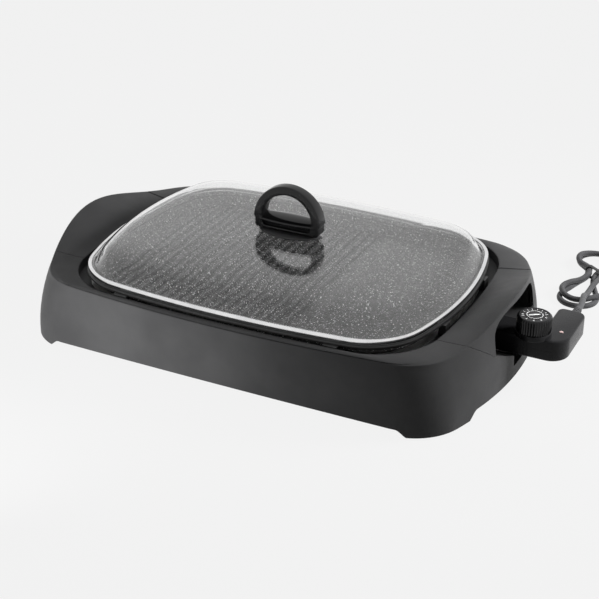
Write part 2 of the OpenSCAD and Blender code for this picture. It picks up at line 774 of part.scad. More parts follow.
module lid_glass() {
    o = lid_edge;
    z = glass_top_z;
    t = glass_t;
    h = dome_h;
    far = outline(o, -34);
    color([0.8, 0.86, 0.88, 0.35]) difference() {
        loop_loft([
            at_z(outline(o, -1.1), z - t), at_z(outline(o, -1.1), z),
            at_z(outline(o, -rim_w - 0.8), z), at_z(outline(o, -rim_w - 3), z + 0.1 * h),
            at_z(outline(o, -rim_w - 8), z + 0.42 * h),
            at_z(outline(o, -rim_w - 14), z + 0.66 * h), at_z(far, z + 0.84 * h),
            shrink(far, 0.72, z + 0.945 * h), shrink(far, 0.42, z + 0.985 * h),
            shrink(far, 0.11, z + h), shrink(far, 0.02, z + h),
            shrink(far, 0.02, z + h - t), shrink(far, 0.11, z + h - t),
            shrink(far, 0.42, z + 0.985 * h - t), shrink(far, 0.72, z + 0.945 * h - t),
            at_z(outline(o, -34 - 0.3 * t), z + 0.84 * h - t),
            at_z(outline(o, -rim_w - 14 - 0.55 * t), z + 0.66 * h - 0.85 * t),
            at_z(outline(o, -rim_w - 8 - 0.75 * t), z + 0.42 * h - 0.75 * t),
            at_z(outline(o, -rim_w - 3 - 0.7 * t), z + 0.1 * h - 0.75 * t),
            at_z(outline(o, -rim_w - 1.8), z - t)
        ]);
        translate([0, 0, z]) cylinder(d = lid_screw_d + 3, h = h + 1);
    }
}

loop_z = crown_z + seat_h + loop_up;
bar_z = crown_z + seat_h + bar_h;

// The loop's front view: a round arch on a cross bar.
module loop_profile() {
    difference() {
        union() {
            translate([0, loop_z]) circle(r = loop_r);
            translate([-loop_r + 2.5, crown_z + seat_h])
                square([2 * loop_r - 5, loop_z - crown_z - seat_h]);
        }
        translate([-60, crown_z - 60]) square([120, 60 + seat_h]);
        difference() {
            translate([0, loop_z]) circle(r = loop_r - loop_t);
            translate([-60, bar_z - 100]) square([120, 100]);
        }
    }
}

// A lens shape seen from above, as wide as w and as deep as d.
module lens(w, d) {
    r = (w * w + d * d) / (4 * d);
    intersection() {
        translate([0, r - d / 2]) circle(r = r, $fn = 96);
        translate([0, d / 2 - r]) circle(r = r, $fn = 96);
    }
}

module lid_handle() {
    color(black) difference() {
        union() {
            intersection() {
                translate([0, loop_dep / 2, 0]) rotate([90, 0, 0])
                    linear_extrude(loop_dep) loop_profile();
                translate([0, 0, crown_z]) along_x(-60, 60) polygon([
                    [-loop_dep / 2, 0], [loop_dep / 2, 0], [loop_dep / 2, loop_up],
                    [loop_dep * 0.3, 70], [-loop_dep * 0.3, 70], [-loop_dep / 2, loop_up]]);
            }
            translate([0, 0, bar_z - 5.2]) linear_extrude(4) lens(62, loop_dep + 12);
        }
        translate([0, 0, crown_z]) cylinder(d = lid_screw_d - 1 + 2 * run_gap,
            h = seat_h + 5);
    }
}

module handle_seat() {
    color(black) difference() {
        translate([0, 0, crown_z + 1]) linear_extrude(seat_h - 1)
            lens(2 * loop_r, seat_dep);
        translate([0, 0, crown_z]) cylinder(d = lid_screw_d + 1, h = seat_h + 2);
    }
}

module lid_washer() {
    color(black) {
        difference() {
            union() {
                translate([0, 0, crown_z]) cylinder(d = 22, h = 1);
                translate([0, 0, crown_z - glass_t]) cylinder(d = lid_screw_d + 2.8,
                    h = glass_t);
                translate([0, 0, crown_z - glass_t - 1.5]) cylinder(d = 18, h = 1.5);
            }
            translate([0, 0, crown_z - 20]) cylinder(d = lid_screw_d, h = 40);
        }
    }
}

module lid_screw() {
    color(steel) translate([0, 0, crown_z - glass_t - 1.5])
        screw((lid_screw_d - 1) / 2, glass_t + 1.5 + seat_h + 4, 5.5, 2.4);
}

// ---- controller ----

case_side = nose_w / 2;
case_turn = 18;
arm_x0 = case_x - arm_w;
shut_z = case_mid;
shell_gap = 0.1;

// The case seen from above, pulled in by d: a straight nose and an arm with round ends.
module case_outline(d) {
    front = [case_x - case_turn, case_turn - case_side];
    back = [case_x - 9, exit_y - 9];
    inner = [arm_x0 + 6, exit_y - 6];
    polygon([for (p = concat(
        [[nose_x + d, d - case_side, 0]], arc(front, case_turn - d, -90, 0, 8, 0),
        arc(back, 9 - d, 0, 90, 5, 0), arc(inner, 6 - d, 90, 180, 4, 0),
        [[arm_x0 + d, case_side - d, 0], [nose_x + d, case_side - d, 0]])) [p.x, p.y]]);
}

module case_cut() {
    for (s = [-1, 1]) translate([nose_x - 1, s * pin_gap / 2, case_mid])
        rotate([0, 90, 0]) cylinder(d = pin_d + 3.2, h = 1.1 + case_t);
    translate([nose_x - 1, 0, case_mid]) rotate([0, 90, 0])
        cylinder(d = probe_d + 0.1, h = 10);
    translate([exit_x, exit_y - 6, case_mid]) rotate([-90, 0, 0])
        cylinder(d = cord_d + 3, h = 10);
}

case_screws_at = [[nose_x + 29, -9.6], [case_x - 6.5, 22], [arm_x0 + 7, exit_y - 13]];
lamp = [case_x - 10.5, 7.2];
module controller_bottom() {
    color(charcoal) difference() {
        union() {
            translate([0, 0, case_low]) linear_extrude(case_t) case_outline(0);
            translate([0, 0, case_low + case_t - 0.5])
                linear_extrude(shut_z - case_low - case_t + 0.5 - shell_gap)
                    difference() {
                        case_outline(0);
                        case_outline(case_t);
                    }
            for (p = case_screws_at) translate([p.x, p.y, 0])
                screw_post(3.4, case_low + 1, shut_z - shell_gap);
        }
        case_cut();
        for (p = case_screws_at) translate([p.x, p.y, 0]) {
            screw_post(pilot_r + 0.2, case_low - 1, shut_z + 1);
            screw_post(2.8, case_low - 1, case_low + 2.4);
        }
        for (i = [0:4], s = [-1, 1]) translate([base_len / 2 + 3 + 3 * i,
            s * case_side - 0.5, case_low + 2]) cube([1.4, 1, case_h]);
    }
}

module controller_top() {
    color(charcoal) difference() {
        union() {
            translate([0, 0, case_top - case_t]) linear_extrude(case_t) case_outline(0);
            translate([0, 0, shut_z]) linear_extrude(case_top - shut_z - case_t + 0.5)
                difference() {
                    case_outline(0);
                    case_outline(case_t);
                }
            translate([dial_x, dial_y, case_top - 1])
                cylinder(d = dial_d + 1, h = collar_h + 1);
            for (p = case_screws_at) translate([p.x, p.y, 0])
                screw_post(3.4, shut_z, case_top - 1);
        }
        case_cut();
        translate([dial_x, dial_y, shut_z])
            cylinder(r = shaft_d / 2 + run_gap, h = case_h);
        translate([lamp.x, lamp.y, case_mid]) cylinder(d = 4, h = case_h);
        for (p = case_screws_at) translate([p.x, p.y, 0])
            screw_post(pilot_r, shut_z - 1, shut_z + 7);
        for (i = [0:4], s = [-1, 1]) translate([base_len / 2 + 3 + 3 * i,
            s * case_side - 0.5, case_low]) cube([1.4, 1, case_h - 2]);
    }
}

module controller_screws() {
    color(steel) for (p = case_screws_at) translate([p.x, p.y, case_low + 2.4])
        screw(screw_r, case_h / 2, 2.6, 1.4);
}

module socket_block() {
    x0 = nose_x + case_t + 0.1;
    half = case_side - case_t - 0.2;
    color(ceramic) difference() {
        translate([x0, -half, case_low + case_t + 0.1])
            cube([14, 2 * half, case_h - 2 * case_t - 0.2]);
        for (s = [-1, 1]) translate([x0 - 1, s * pin_gap / 2, case_mid])
            rotate([0, 90, 0]) cylinder(d = pin_d + 0.84, h = 16);
        translate([x0 - 1, 0, case_mid]) rotate([0, 90, 0])
            cylinder(d = probe_d + 0.06, h = 16);
    }
}

module socket_contacts() {
    color(brass) for (s = [-1, 1])
        translate([nose_x + 2, s * pin_gap / 2, case_mid]) rotate([0, 90, 0])
            difference() {
                cylinder(d = pin_d + 0.8, h = 22);
                translate([0, 0, -1]) cylinder(r = pin_d / 2 + run_gap, h = 21.5);
            }
}

module probe_rod() {
    color(steel) translate([nose_x - probe_len, 0, case_mid]) rotate([0, 90, 0]) {
        translate([0, 0, probe_d / 2]) cylinder(d = probe_d, h = probe_len + 24);
        translate([0, 0, probe_d / 2]) sphere(d = probe_d);
    }
}

frame_x = nose_x + 24;
module thermostat_frame() {
    z = case_low + case_t;
    color(steel) difference() {
        union() {
            translate([frame_x, -6, z]) cube([20, 16, 1.2]);
            translate([frame_x, -6, z]) cube([1.2, 16, 11]);
            translate([dial_x, dial_y, z]) cylinder(r = 6, h = 1.2);
        }
        translate([dial_x, dial_y, z - 1]) cylinder(r = 2 + run_gap, h = 4);
        translate([frame_x - 1, 0, case_mid]) rotate([0, 90, 0])
            cylinder(d = probe_d + 0.4, h = 4);
    }
}

module contact_springs() {
    z = case_low + case_t;
    color(brass) {
        for (k = [0, 1]) translate([frame_x + 3, 5, z + 1.2 + 3.6 * k]) cube([16, 5, 0.5]);
        translate([frame_x + 3, 5, z + 1.2]) cube([2, 5, 4]);
    }
}

module pilot_lamp() {
    z = case_low + case_t;
    color([0.9, 0.5, 0.3]) translate([lamp.x, lamp.y, z]) {
        cylinder(d = 5, h = 5);
        cylinder(d = 3.6, h = case_h - 2 * case_t - 1);
    }
}

module indicator_lens() {
    color([0.8, 0.2, 0.15]) translate([lamp.x, lamp.y, case_top - case_t]) {
        translate([0, 0, -0.8]) cylinder(d = 6, h = 0.8);
        cylinder(d = 3.9, h = case_t + 0.5);
    }
}

module dial_knob() {
    ribs = 30;
    color(black) translate([dial_x, dial_y, dial_z]) difference() {
        union() {
            cylinder(d = dial_d - 1, h = dial_h - 1);
            translate([0, 0, dial_h - 1.01])
                cylinder(d1 = dial_d - 1, d2 = dial_d - 3.4, h = 1.01);
            for (i = [0:ribs - 1]) rotate([0, 0, i * 360 / ribs])
                translate([dial_d / 2 - 0.6, 0, 0]) cylinder(r = 0.6, h = dial_h - 2);
        }
        translate([0, 0, -1]) cylinder(r = shaft_d / 2 + 0.02, h = 9);
        difference() {
            translate([0, 0, -1]) cylinder(d = dial_d - 5, h = dial_h - 2);
            translate([0, 0, -2]) cylinder(d = shaft_d + 5, h = dial_h);
        }
    }
}

module dial_shaft() {
    color(steel) translate([dial_x, dial_y, 0]) {
        screw_post(shaft_d / 2, case_low + case_t + 4, dial_z + 8);
        screw_post(2, case_low + case_t + 0.2, case_low + case_t + 4);
    }
}

// ---- supply cord ----

plug_at = [288, 246];
// The lead's own points, from the strain relief down to the hank.
lead = [[exit_x, exit_y - case_t - 3 + relief_len, case_mid], [274.2, 88, 43], [272, 102, 41],
    [269, 116, 37], [265.5, 131, 31.5], [262, 146, 25], [259.5, 160, 19.5],
    [257.5, 172, 15.5], [256, 184, 12.5]];
// The tail's own points, from the hank round to the plug.
tail = [[253, 170, 9.3], [268, 184, 9.2], [276, 198, 8.6], [283, 209, 9],
    [plug_at.x, plug_at.y - 28, 9]];
hank_at = [244, 230];
hank_turn = 4;
hank_half = 52;
hank_r = 22;
hank_h = 13;

function smooth(pts) = concat([pts[0]], [for (i = [0:len(pts) - 2], s = [1, 2])
    let (a = pts[max(i - 1, 0)], b = pts[i], c = pts[i + 1],
        e = pts[min(i + 2, len(pts) - 1)], t = s / 2)
    0.5 * (2 * b + (c - a) * t + (2 * a - 5 * b + 4 * c - e) * t * t
        + (3 * b - a - 3 * c + e) * t * t * t)]);

module cord() {
    color(charcoal) for (path = [smooth(lead), smooth(tail)])
        stack_loft([for (i = [0:len(path) - 1]) tube_ring(path, i, cord_d)]);
}

module hank_outline(half, r) {
    square([2 * r, 2 * half], center = true);
    for (s = [-1, 1]) translate([0, s * half]) circle(r = r);
}

module cord_hank() {
    color(charcoal) difference() {
        translate([hank_at.x, hank_at.y, 0]) rotate([0, 0, hank_turn])
            linear_extrude(hank_h) hank_outline(hank_half, hank_r);
    }
}

module cord_tie() {
    w = hank_r + 1.2;
    color(black) translate([hank_at.x, hank_at.y, 0]) rotate([0, 0, hank_turn])
        difference() {
            translate([-w, -2, 0]) cube([2 * w, 4, hank_h + 1.4]);
            translate([-hank_r - 0.02, -3, -1]) cube([2 * hank_r + 0.04, 6, hank_h + 1.02]);
        }
}

relief_r = cord_d / 2 + 2.6;
module strain_relief() {
    color(charcoal) translate([exit_x, exit_y - case_t - 3, case_mid])
        rotate([-90, 0, 0]) difference() {
            union() {
                cylinder(r = relief_r, h = 2.6);
                cylinder(r = cord_d / 2 + 1.45, h = 7);
                translate([0, 0, case_t + 3.1]) cylinder(r = relief_r, h = 3);
                translate([0, 0, case_t + 6]) cylinder(r1 = cord_d / 2 + 2,
                    r2 = cord_d / 2 + 0.7, h = relief_len - 6);
            }
            for (i = [0:3]) translate([0, 0, case_t + 9 + 3.4 * i]) difference() {
                cylinder(r = 10, h = 1.2);
                cylinder(r = cord_d / 2 + 0.5, h = 1.2);
            }
        }
}

module plug_body() {
    color(charcoal) translate([plug_at.x, plug_at.y, 0]) rotate([0, 0, 90]) {
        linear_extrude(18) difference() {
            translate([-14, -13]) square([28, 26]);
            for (s = [-1, 1]) translate([-14, s * 13]) rotate([0, 0, 45])
                square([6, 6], center = true);
        }
        translate([-14, 0, 9]) rotate([0, -90, 0]) cylinder(r1 = 7, r2 = 4, h = 16);
    }
}

module plug_blades() {
    color(brass) translate([plug_at.x, plug_at.y, 9]) rotate([0, 0, 90])
        for (s = [-1, 1]) translate([14, s * 6.35 - 0.75, -3.2]) cube([16, 1.5, 6.4]);
}

base_housing();
left_handle();
right_handle();
bottom_cover();
rubber_feet();
base_screws();
handle_screws();
heat_shield();
drip_tray();
heating_element();
element_supports();
element_clips();
terminal_block();
terminal_pins();
terminal_screws();
probe_guide();
grill_plate();
lid_glass();
lid_rim();
lid_handle();
handle_seat();
lid_washer();
lid_screw();
controller_top();
controller_bottom();
socket_block();
socket_contacts();
probe_rod();
thermostat_frame();
contact_springs();
pilot_lamp();
indicator_lens();
controller_screws();
dial_knob();
dial_shaft();
strain_relief();
cord();
cord_hank();
cord_tie();
plug_body();
plug_blades();
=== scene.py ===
"""Looks of the electric indoor grill: base, ribbed plate, glass lid, heat controller and cord."""
import math

import bmesh
import bpy
from mathutils import Matrix, Vector


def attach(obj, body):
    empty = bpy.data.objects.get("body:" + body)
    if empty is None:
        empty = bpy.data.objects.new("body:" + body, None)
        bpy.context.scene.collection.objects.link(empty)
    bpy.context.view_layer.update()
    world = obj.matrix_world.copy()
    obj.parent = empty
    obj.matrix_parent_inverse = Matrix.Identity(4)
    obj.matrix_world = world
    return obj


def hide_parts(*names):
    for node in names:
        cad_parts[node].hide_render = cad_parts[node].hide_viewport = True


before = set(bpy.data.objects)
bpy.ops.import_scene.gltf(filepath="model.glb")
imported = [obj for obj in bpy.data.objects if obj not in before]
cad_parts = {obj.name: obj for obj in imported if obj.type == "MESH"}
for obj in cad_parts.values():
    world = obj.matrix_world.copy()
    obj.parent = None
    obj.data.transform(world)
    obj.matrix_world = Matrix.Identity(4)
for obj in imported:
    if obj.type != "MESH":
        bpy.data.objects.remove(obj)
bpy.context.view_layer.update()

MM = 0.001

# ---- outlines and heights of the mouldings, in millimetres ----
# An outline is half length, half depth, end bow, side bow and corner radius.
TOP_EDGE = (238, 150, 19.4, 9.4, 58.5)
FOOT_EDGE = (243.85, 150.95, 16.4, 1.2, 54.4)
OPENING = (194.5, 141.7, 3.8, 3.8, 68.5)
LID_EDGE = (188.9, 139.3, 9.2, 6.5, 63.4)
WALL = 2.8
WALL_FOOT_Z = 1.2
WALL_SHARES = (0, 0.25, 0.55, 0.82)
BASE_H = 67
END_CROWN = 21
CROWN_HALF = 125
DECK_BOW = 3.6
OPEN_Z = 68.3
LEDGE_Z = 58
FLOOR_Z = 58
GLASS_Z = 76.05
DOME = 24
GLASS_T = 3.4
CROWN_Z = 100.05
LOOP_Z = 115.05
CASE_LOW = 33
CASE_MID = 43.5
CASE_TOP = 54
CASE_WALL = 2.2
CORD_EXIT_X = 274.5
DIAL_AT = Vector((256, -7, 58.7))
PRINT_T = 0.08
TUBE_Z = 50.15
TUBE_BEND = 15

# ---- end handles and feet: half widths of seams, grip and recess, and where they stand ----
SEAM = 87
GRIP = 54
RECESS_HALF = 56.8
RECESS_X = 206.2
FAR_X = 476
FOOT_X, FOOT_Y = 204.03, 126.23

# ---- the studio, in shares of white ----
BACKGROUND = 0.888
FLOOR_GLOW = 0.905
FLOOR_GLOW_SHARE = 0.965
FLOOR_MATT = 0.3
SKY_LIGHT = 0.12

# ---- what a cut or a join may do to a part's volume, and the shifts of its tool in mm ----
VOLUME_SHARES = {"UNION": (0.999, 9.0), "DIFFERENCE": (0.01, 1.001), "INTERSECT": (0.001, 1.001)}
TOOL_SHIFTS = (0, 0.021, -0.027, 0.038, -0.043)
MERGE = 1.5e-5


# ---- bench tools ----
def drop_choice():
    """Leaves edit mode and selects nothing."""
    if bpy.context.object and bpy.context.object.mode != "OBJECT":
        bpy.ops.object.mode_set(mode="OBJECT")
    bpy.ops.object.select_all(action="DESELECT")


def take(*parts):
    """Selects the parts and makes the first one active."""
    drop_choice()
    for part in parts:
        part.select_set(True)
    bpy.context.view_layer.objects.active = parts[0]
    return parts[0]


def grow(name, rings, solid=False):
    """Raises a wall from a ring, ring by ring. A solid one keeps its two end faces, and the
    others close on the first ring again."""
    drop_choice()
    fill = "NGON" if solid else "NOTHING"
    bpy.ops.mesh.primitive_circle_add(vertices=len(rings[0]), radius=0.1, fill_type=fill)
    part = bpy.context.object
    part.name = part.data.name = name
    bpy.ops.object.mode_set(mode="EDIT")
    mesh = bmesh.from_edit_mesh(part.data)
    number = mesh.verts.layers.int.new("number")
    for i, vert in enumerate(mesh.verts):
        vert[number] = i
        vert.co = Vector(rings[0][i]) * MM
    for ring in rings[1:] + ([] if solid else [rings[0]]):
        bpy.ops.mesh.extrude_region_move()
        mesh = bmesh.from_edit_mesh(part.data)
        number = mesh.verts.layers.int["number"]
        for vert in mesh.verts:
            if vert.select:
                vert.co = Vector(ring[vert[number]]) * MM
    bpy.ops.mesh.select_all(action="SELECT")
    bpy.ops.mesh.remove_doubles(threshold=1e-6)
    face_outwards(part)
    part.data.attributes.remove(part.data.attributes["number"])
    return part


def face_outwards(part):
    """Turns every face outwards and leaves edit mode."""
    bpy.ops.mesh.select_all(action="SELECT")
    bpy.ops.mesh.normals_make_consistent(inside=False)
    if bmesh.from_edit_mesh(part.data).calc_volume(signed=True) < 0:
        bpy.ops.mesh.flip_normals()
    bpy.ops.object.mode_set(mode="OBJECT")


def bar_x(name, profile, x0, x1):
    """A bar along X whose profile is drawn in Y and Z."""
    return grow(name, [[(x, y, z) for y, z in profile] for x in (x0, x1)], solid=True)


def bar_y(name, profile, y0, y1):
    return grow(name, [[(x, y, z) for x, z in profile] for y in (y0, y1)], solid=True)


def bar_z(name, profile, z0, z1):
    return grow(name, [[(x, y, z) for x, y in profile] for z in (z0, z1)], solid=True)


def rod(name, centre, axis, radius, length, sides=32):
    """A round rod that starts at centre and runs along X, Y or Z."""
    turns = [2 * math.pi * k / sides for k in range(sides)]
    ring = [(radius * math.cos(t), radius * math.sin(t)) for t in turns]
    turn = {"x": lambda a, b, s: (s, a, b), "y": lambda a, b, s: (b, s, a),
            "z": lambda a, b, s: (a, b, s)}[axis]
    return grow(name, [[Vector(centre) + Vector(turn(a, b, s)) for a, b in ring]
                       for s in (0, length)], solid=True)


def volume(mesh_data):
    """The volume that a mesh encloses, or None where the mesh is open. An edge has two faces,
    or four where two walls touch."""
    mesh = bmesh.new()
    mesh.from_mesh(mesh_data)
    closed = all(len(edge.link_faces) in (2, 4) for edge in mesh.edges)
    inside = mesh.calc_volume(signed=True)
    mesh.free()
    return inside if closed else None


def carve(part, tool, how="DIFFERENCE"):
    """Cuts or joins a tool and uses it up. A result that is open, or whose volume is out of
    bounds, is undone, and the tool moves by a few hundredths of a millimetre for the next try.
    After the last try the part stays uncut."""
    start = part.data.copy()
    before = volume(start) or 1.0
    low, high = VOLUME_SHARES[how]
    for shift in TOOL_SHIFTS:
        tool.location = Vector((shift, 0.7 * shift, -0.4 * shift)) * MM
        step = part.modifiers.new("carve", "BOOLEAN")
        step.operation = how
        step.solver = "EXACT"
        step.object = tool
        take(part)
        bpy.ops.object.modifier_apply(modifier=step.name)
        bpy.ops.object.mode_set(mode="EDIT")
        bpy.ops.mesh.select_all(action="SELECT")
        bpy.ops.mesh.remove_doubles(threshold=MERGE)
        bpy.ops.mesh.dissolve_degenerate(threshold=1e-5)
        bpy.ops.mesh.delete_loose(use_faces=False)
        bpy.ops.object.mode_set(mode="OBJECT")
        after = volume(part.data)
        if after and low * before < after < high * before:
            break
        print("carve again:", part.name, how)
        part.data = start.copy()
    bpy.data.objects.remove(tool)
    return part


def twin(part, name):
    """A copy with its own mesh."""
    take(part)
    bpy.ops.object.duplicate()
    copy = bpy.context.object
    copy.name = copy.data.name = name
    return copy


def mirrored(part, name):
    """The same part for the other end."""
    copy = twin(part, name)
    bpy.ops.object.mode_set(mode="EDIT")
    bpy.ops.mesh.select_all(action="SELECT")
    bpy.ops.transform.resize(value=(-1, 1, 1), center_override=(0, 0, 0))
    face_outwards(copy)
    return copy


def round_edges(part, width, segments=3, angle=40):
    step = part.modifiers.new("round", "BEVEL")
    step.width = width * MM
    step.segments = segments
    step.limit_method = "ANGLE"
    step.angle_limit = math.radians(angle)
    step.harden_normals = False
    take(part)
    bpy.ops.object.modifier_apply(modifier=step.name)
    return part


def smooth(part, angle=35):
    take(part)
    bpy.ops.object.shade_smooth_by_angle(angle=math.radians(angle))
    return part


def weld(*parts):
    """Joins parts into one object without a boolean."""
    take(*parts)
    bpy.ops.object.join()
    return bpy.context.object


def fit(part, finish, slot, body, *nodes):
    """Gives a finished part its material and its body, and hides the nodes that it stands for."""
    part.data.materials.clear()
    part.data.materials.append(finish)
    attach(part, body)
    if nodes:
        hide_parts(*nodes)
    return part


# ---- outlines ----
def arc_radius(half, bow):
    """The radius of an arc from its half chord and its bow."""
    return (half * half + bow * bow) / (2 * bow)


def outline(edge, out=0.0, end=12, corner=14, side=12):
    """Points round an outline moved outwards by out, from the middle of the +X end."""
    a, b, end_bow, side_bow, radius = edge
    cx, cy = a - radius - end_bow, b - radius - side_bow
    re, rs = arc_radius(cy, end_bow), arc_radius(cx, side_bow)
    te, ts = math.asin(cy / re), math.asin(cx / rs)
    r = radius + out
    first = []
    for i in range(end):
        t = te * i / end
        first.append((cx + end_bow - re + (re + r) * math.cos(t), (re + r) * math.sin(t)))
    for i in range(corner):
        t = te + (math.pi / 2 - ts - te) * i / corner
        first.append((cx + r * math.cos(t), cy + r * math.sin(t)))
    for i in range(side):
        t = math.pi / 2 - ts + ts * i / side
        first.append(((rs + r) * math.cos(t), cy + side_bow - rs + (rs + r) * math.sin(t)))
    back = [(-x, y) for x, y in reversed(first[1:])]
    front = [(x, -y) for x, y in reversed(first[1:])]
    return (first + [(0, b + out)] + back + [(-a - out, 0)]
            + [(-x, -y) for x, y in first[1:]] + [(0, -b - out)] + front)


def level(edge, out, z):
    return [(x, y, z) for x, y in outline(edge, out)]


def levels(edge, rows):
    """Flat rings round an outline; a row is how far out and how high."""
    return [level(edge, out, z) for out, z in rows]


def crease_z(y):
    """The height of the crease between wall and deck, which rises in the middle of an end."""
    crown = END_CROWN * math.cos(math.pi / 2 * y / CROWN_HALF) ** 2 if abs(y) < CROWN_HALF else 0
    return BASE_H + crown


def wall_ring(share, out=0.0, drop=0.0):
    """A ring on the sloping wall, at a share of the way up from the foot."""
    ring = []
    for (x, y), (u, v) in zip(outline(TOP_EDGE, out), outline(FOOT_EDGE, out)):
        k = 1 - share * share
        z = WALL_FOOT_Z + (crease_z(y) - drop - WALL_FOOT_Z) * share
        ring.append((x + (u - x) * k, y + (v - y) * k, z))
    return ring


def crease_ring(out, down):
    return [(x, y, crease_z(y) - down) for x, y in outline(TOP_EDGE, out)]


def deck_ring(share, up):
    """A ring on the top deck, at a share of the way from the crease to the opening."""
    ring = []
    for (x, y), (u, v) in zip(outline(TOP_EDGE), outline(OPENING)):
        z = crease_z(y)
        ring.append((x + (u - x) * share, y + (v - y) * share, z + (OPEN_Z - z) * share + up))
    return ring


def soften(rings, steps):
    """Adds rings on a smooth curve through the given ones."""
    out = []
    last = len(rings) - 1
    for k in range(last):
        ring_a, ring_b = rings[max(k - 1, 0)], rings[k]
        ring_c, ring_d = rings[k + 1], rings[min(k + 2, last)]
        for s in range(steps):
            t = s / steps
            ring = []
            for a, b, c, d in zip(ring_a, ring_b, ring_c, ring_d):
                a, b, c, d = Vector(a), Vector(b), Vector(c), Vector(d)
                ring.append(0.5 * (2 * b + (c - a) * t + (2 * a - 5 * b + 4 * c - d) * t * t
                                   + (3 * b - a - 3 * c + d) * t ** 3))
            out.append(ring)
    return out + [[Vector(p) for p in rings[last]]]


def smooth_line(points, steps):
    """A smooth curve through the points."""
    return [ring[0] for ring in soften([[p] for p in points], steps)]


# ---- camera ----
CAMERA_AT = (0.56257, -1.09758, 0.65955)
CAMERA_BACK = (0.39955575, -0.79505253, 0.45634052)
CAMERA_SIDE = math.radians(26.68)
CAMERA_LENS = 82.44
back = Vector(CAMERA_BACK).normalized()
across = Vector((math.cos(CAMERA_SIDE), math.sin(CAMERA_SIDE), 0))
across = (across - back * across.dot(back)).normalized()
view_turn = Matrix((across, back.cross(across), back)).transposed()
drop_choice()
bpy.ops.object.camera_add(location=CAMERA_AT, rotation=view_turn.to_euler())
camera = bpy.context.object
camera.data.lens = CAMERA_LENS
camera.data.sensor_width = 36
camera.data.clip_end = 30
bpy.context.scene.camera = camera


# ---- materials ----
def fresh(name):
    """A new material, its node tree and its shader."""
    finish = bpy.data.materials.new(name)
    finish.use_nodes = True
    return finish, finish.node_tree, finish.node_tree.nodes["Principled BSDF"]


def add(tree, kind, **values):
    """A new node; a value goes to the input of that name, or to the setting of that name."""
    new = tree.nodes.new(kind)
    for key, value in values.items():
        if key in new.inputs:
            new.inputs[key].default_value = value
        else:
            setattr(new, key, value)
    return new


def noise(tree, scale, detail=3.0, rough=0.5, stretch=None):
    """Noise on the object's own coordinates."""
    place = add(tree, "ShaderNodeTexCoord")
    source = place.outputs["Object"]
    if stretch:
        mapping = add(tree, "ShaderNodeMapping", Scale=stretch)
        tree.links.new(source, mapping.inputs["Vector"])
        source = mapping.outputs["Vector"]
    texture = add(tree, "ShaderNodeTexNoise", Scale=scale, Detail=detail, Roughness=rough)
    tree.links.new(source, texture.inputs["Vector"])
    return texture.outputs["Fac"]


def ramp(tree, source, stops):
    """stops are (position, colour), and a colour may be one number."""
    node = add(tree, "ShaderNodeValToRGB")
    marks = node.color_ramp.elements
    while len(marks) < len(stops):
        marks.new(0.5)
    for mark, (place, colour) in zip(marks, stops):
        mark.position = place
        mark.color = (colour, colour, colour, 1) if isinstance(colour, float) else (*colour, 1)
    tree.links.new(source, node.inputs["Fac"])
    return node.outputs["Color"]


def feed(tree, node, pairs):
    """Gives each input its value, or a link where an output is given."""
    for key, value in pairs:
        if isinstance(value, (int, float, tuple)):
            node.inputs[key].default_value = value
        else:
            tree.links.new(value, node.inputs[key])


def blend(tree, mode, share, one, two):
    """Mixes two colours; the share and the colours may be values or outputs."""
    node = add(tree, "ShaderNodeMix", data_type="RGBA", blend_type=mode)
    feed(tree, node, ((0, share), (6, one), (7, two)))
    return node.outputs[2]


def math_node(tree, operation, one, two):
    node = add(tree, "ShaderNodeMath", operation=operation)
    feed(tree, node, ((0, one), (1, two)))
    return node.outputs[0]


def drive(tree, shader, key, source, low, high):
    """Runs an input of the shader from low to high as the source goes from 0.3 to 0.7."""
    tree.links.new(ramp(tree, source, [(0.3, low), (0.7, high)]), shader.inputs[key])


def bump(tree, shader, source, height, strength=1.0):
    node = add(tree, "ShaderNodeBump", Strength=strength, Distance=height)
    tree.links.new(source, node.inputs["Height"])
    tree.links.new(node.outputs["Normal"], shader.inputs["Normal"])


def moulded(name, dark, light, low, high, grain, height, gloss=0.5, patch=22.0):
    """Moulded plastic: faint clouding from dark to light, a sheen of low to high roughness and
    a fine spark-eroded grain of that scale and height. A grey may be one number."""
    finish, tree, shader = fresh(name)
    drive(tree, shader, "Base Color", noise(tree, patch, 4.0, 0.55), dark, light)
    drive(tree, shader, "Roughness", noise(tree, patch * 3.1, 5.0, 0.6), low, high)
    shader.inputs["Specular IOR Level"].default_value = gloss
    bump(tree, shader, noise(tree, grain, 2.0, 0.6), height)
    return finish


def metal(name, dark, light, low, high, stretch, grain, height):
    """Metal with drawn or brushed lines along the stretched axis."""
    finish, tree, shader = fresh(name)
    shader.inputs["Metallic"].default_value = 1.0
    drive(tree, shader, "Base Color", noise(tree, 40.0, 4.0, 0.6), dark, light)
    lines = noise(tree, grain, 3.0, 0.6, stretch)
    drive(tree, shader, "Roughness", lines, low, high)
    bump(tree, shader, lines, height)
    return finish


# A row is scale, size and tone of the specks. The heights and places are in metres.
SPECKS = ((300.0, 0.23, 0.95), (460.0, 0.24, 0.85), (720.0, 0.27, 0.6))
SPECK_RIM = 0.07
SPECK_CUT = 0.42
# Painted shade darkens the floor between the ribs and a painted highlight lightens the rib crests,
# between these two heights, and both end where the ribs end.
GROOVE_SHADE_Z, RIB_HIGHLIGHT_Z = 0.0582, 0.0608
RIBS_END_X, FLAT_X = 0.048, 0.054


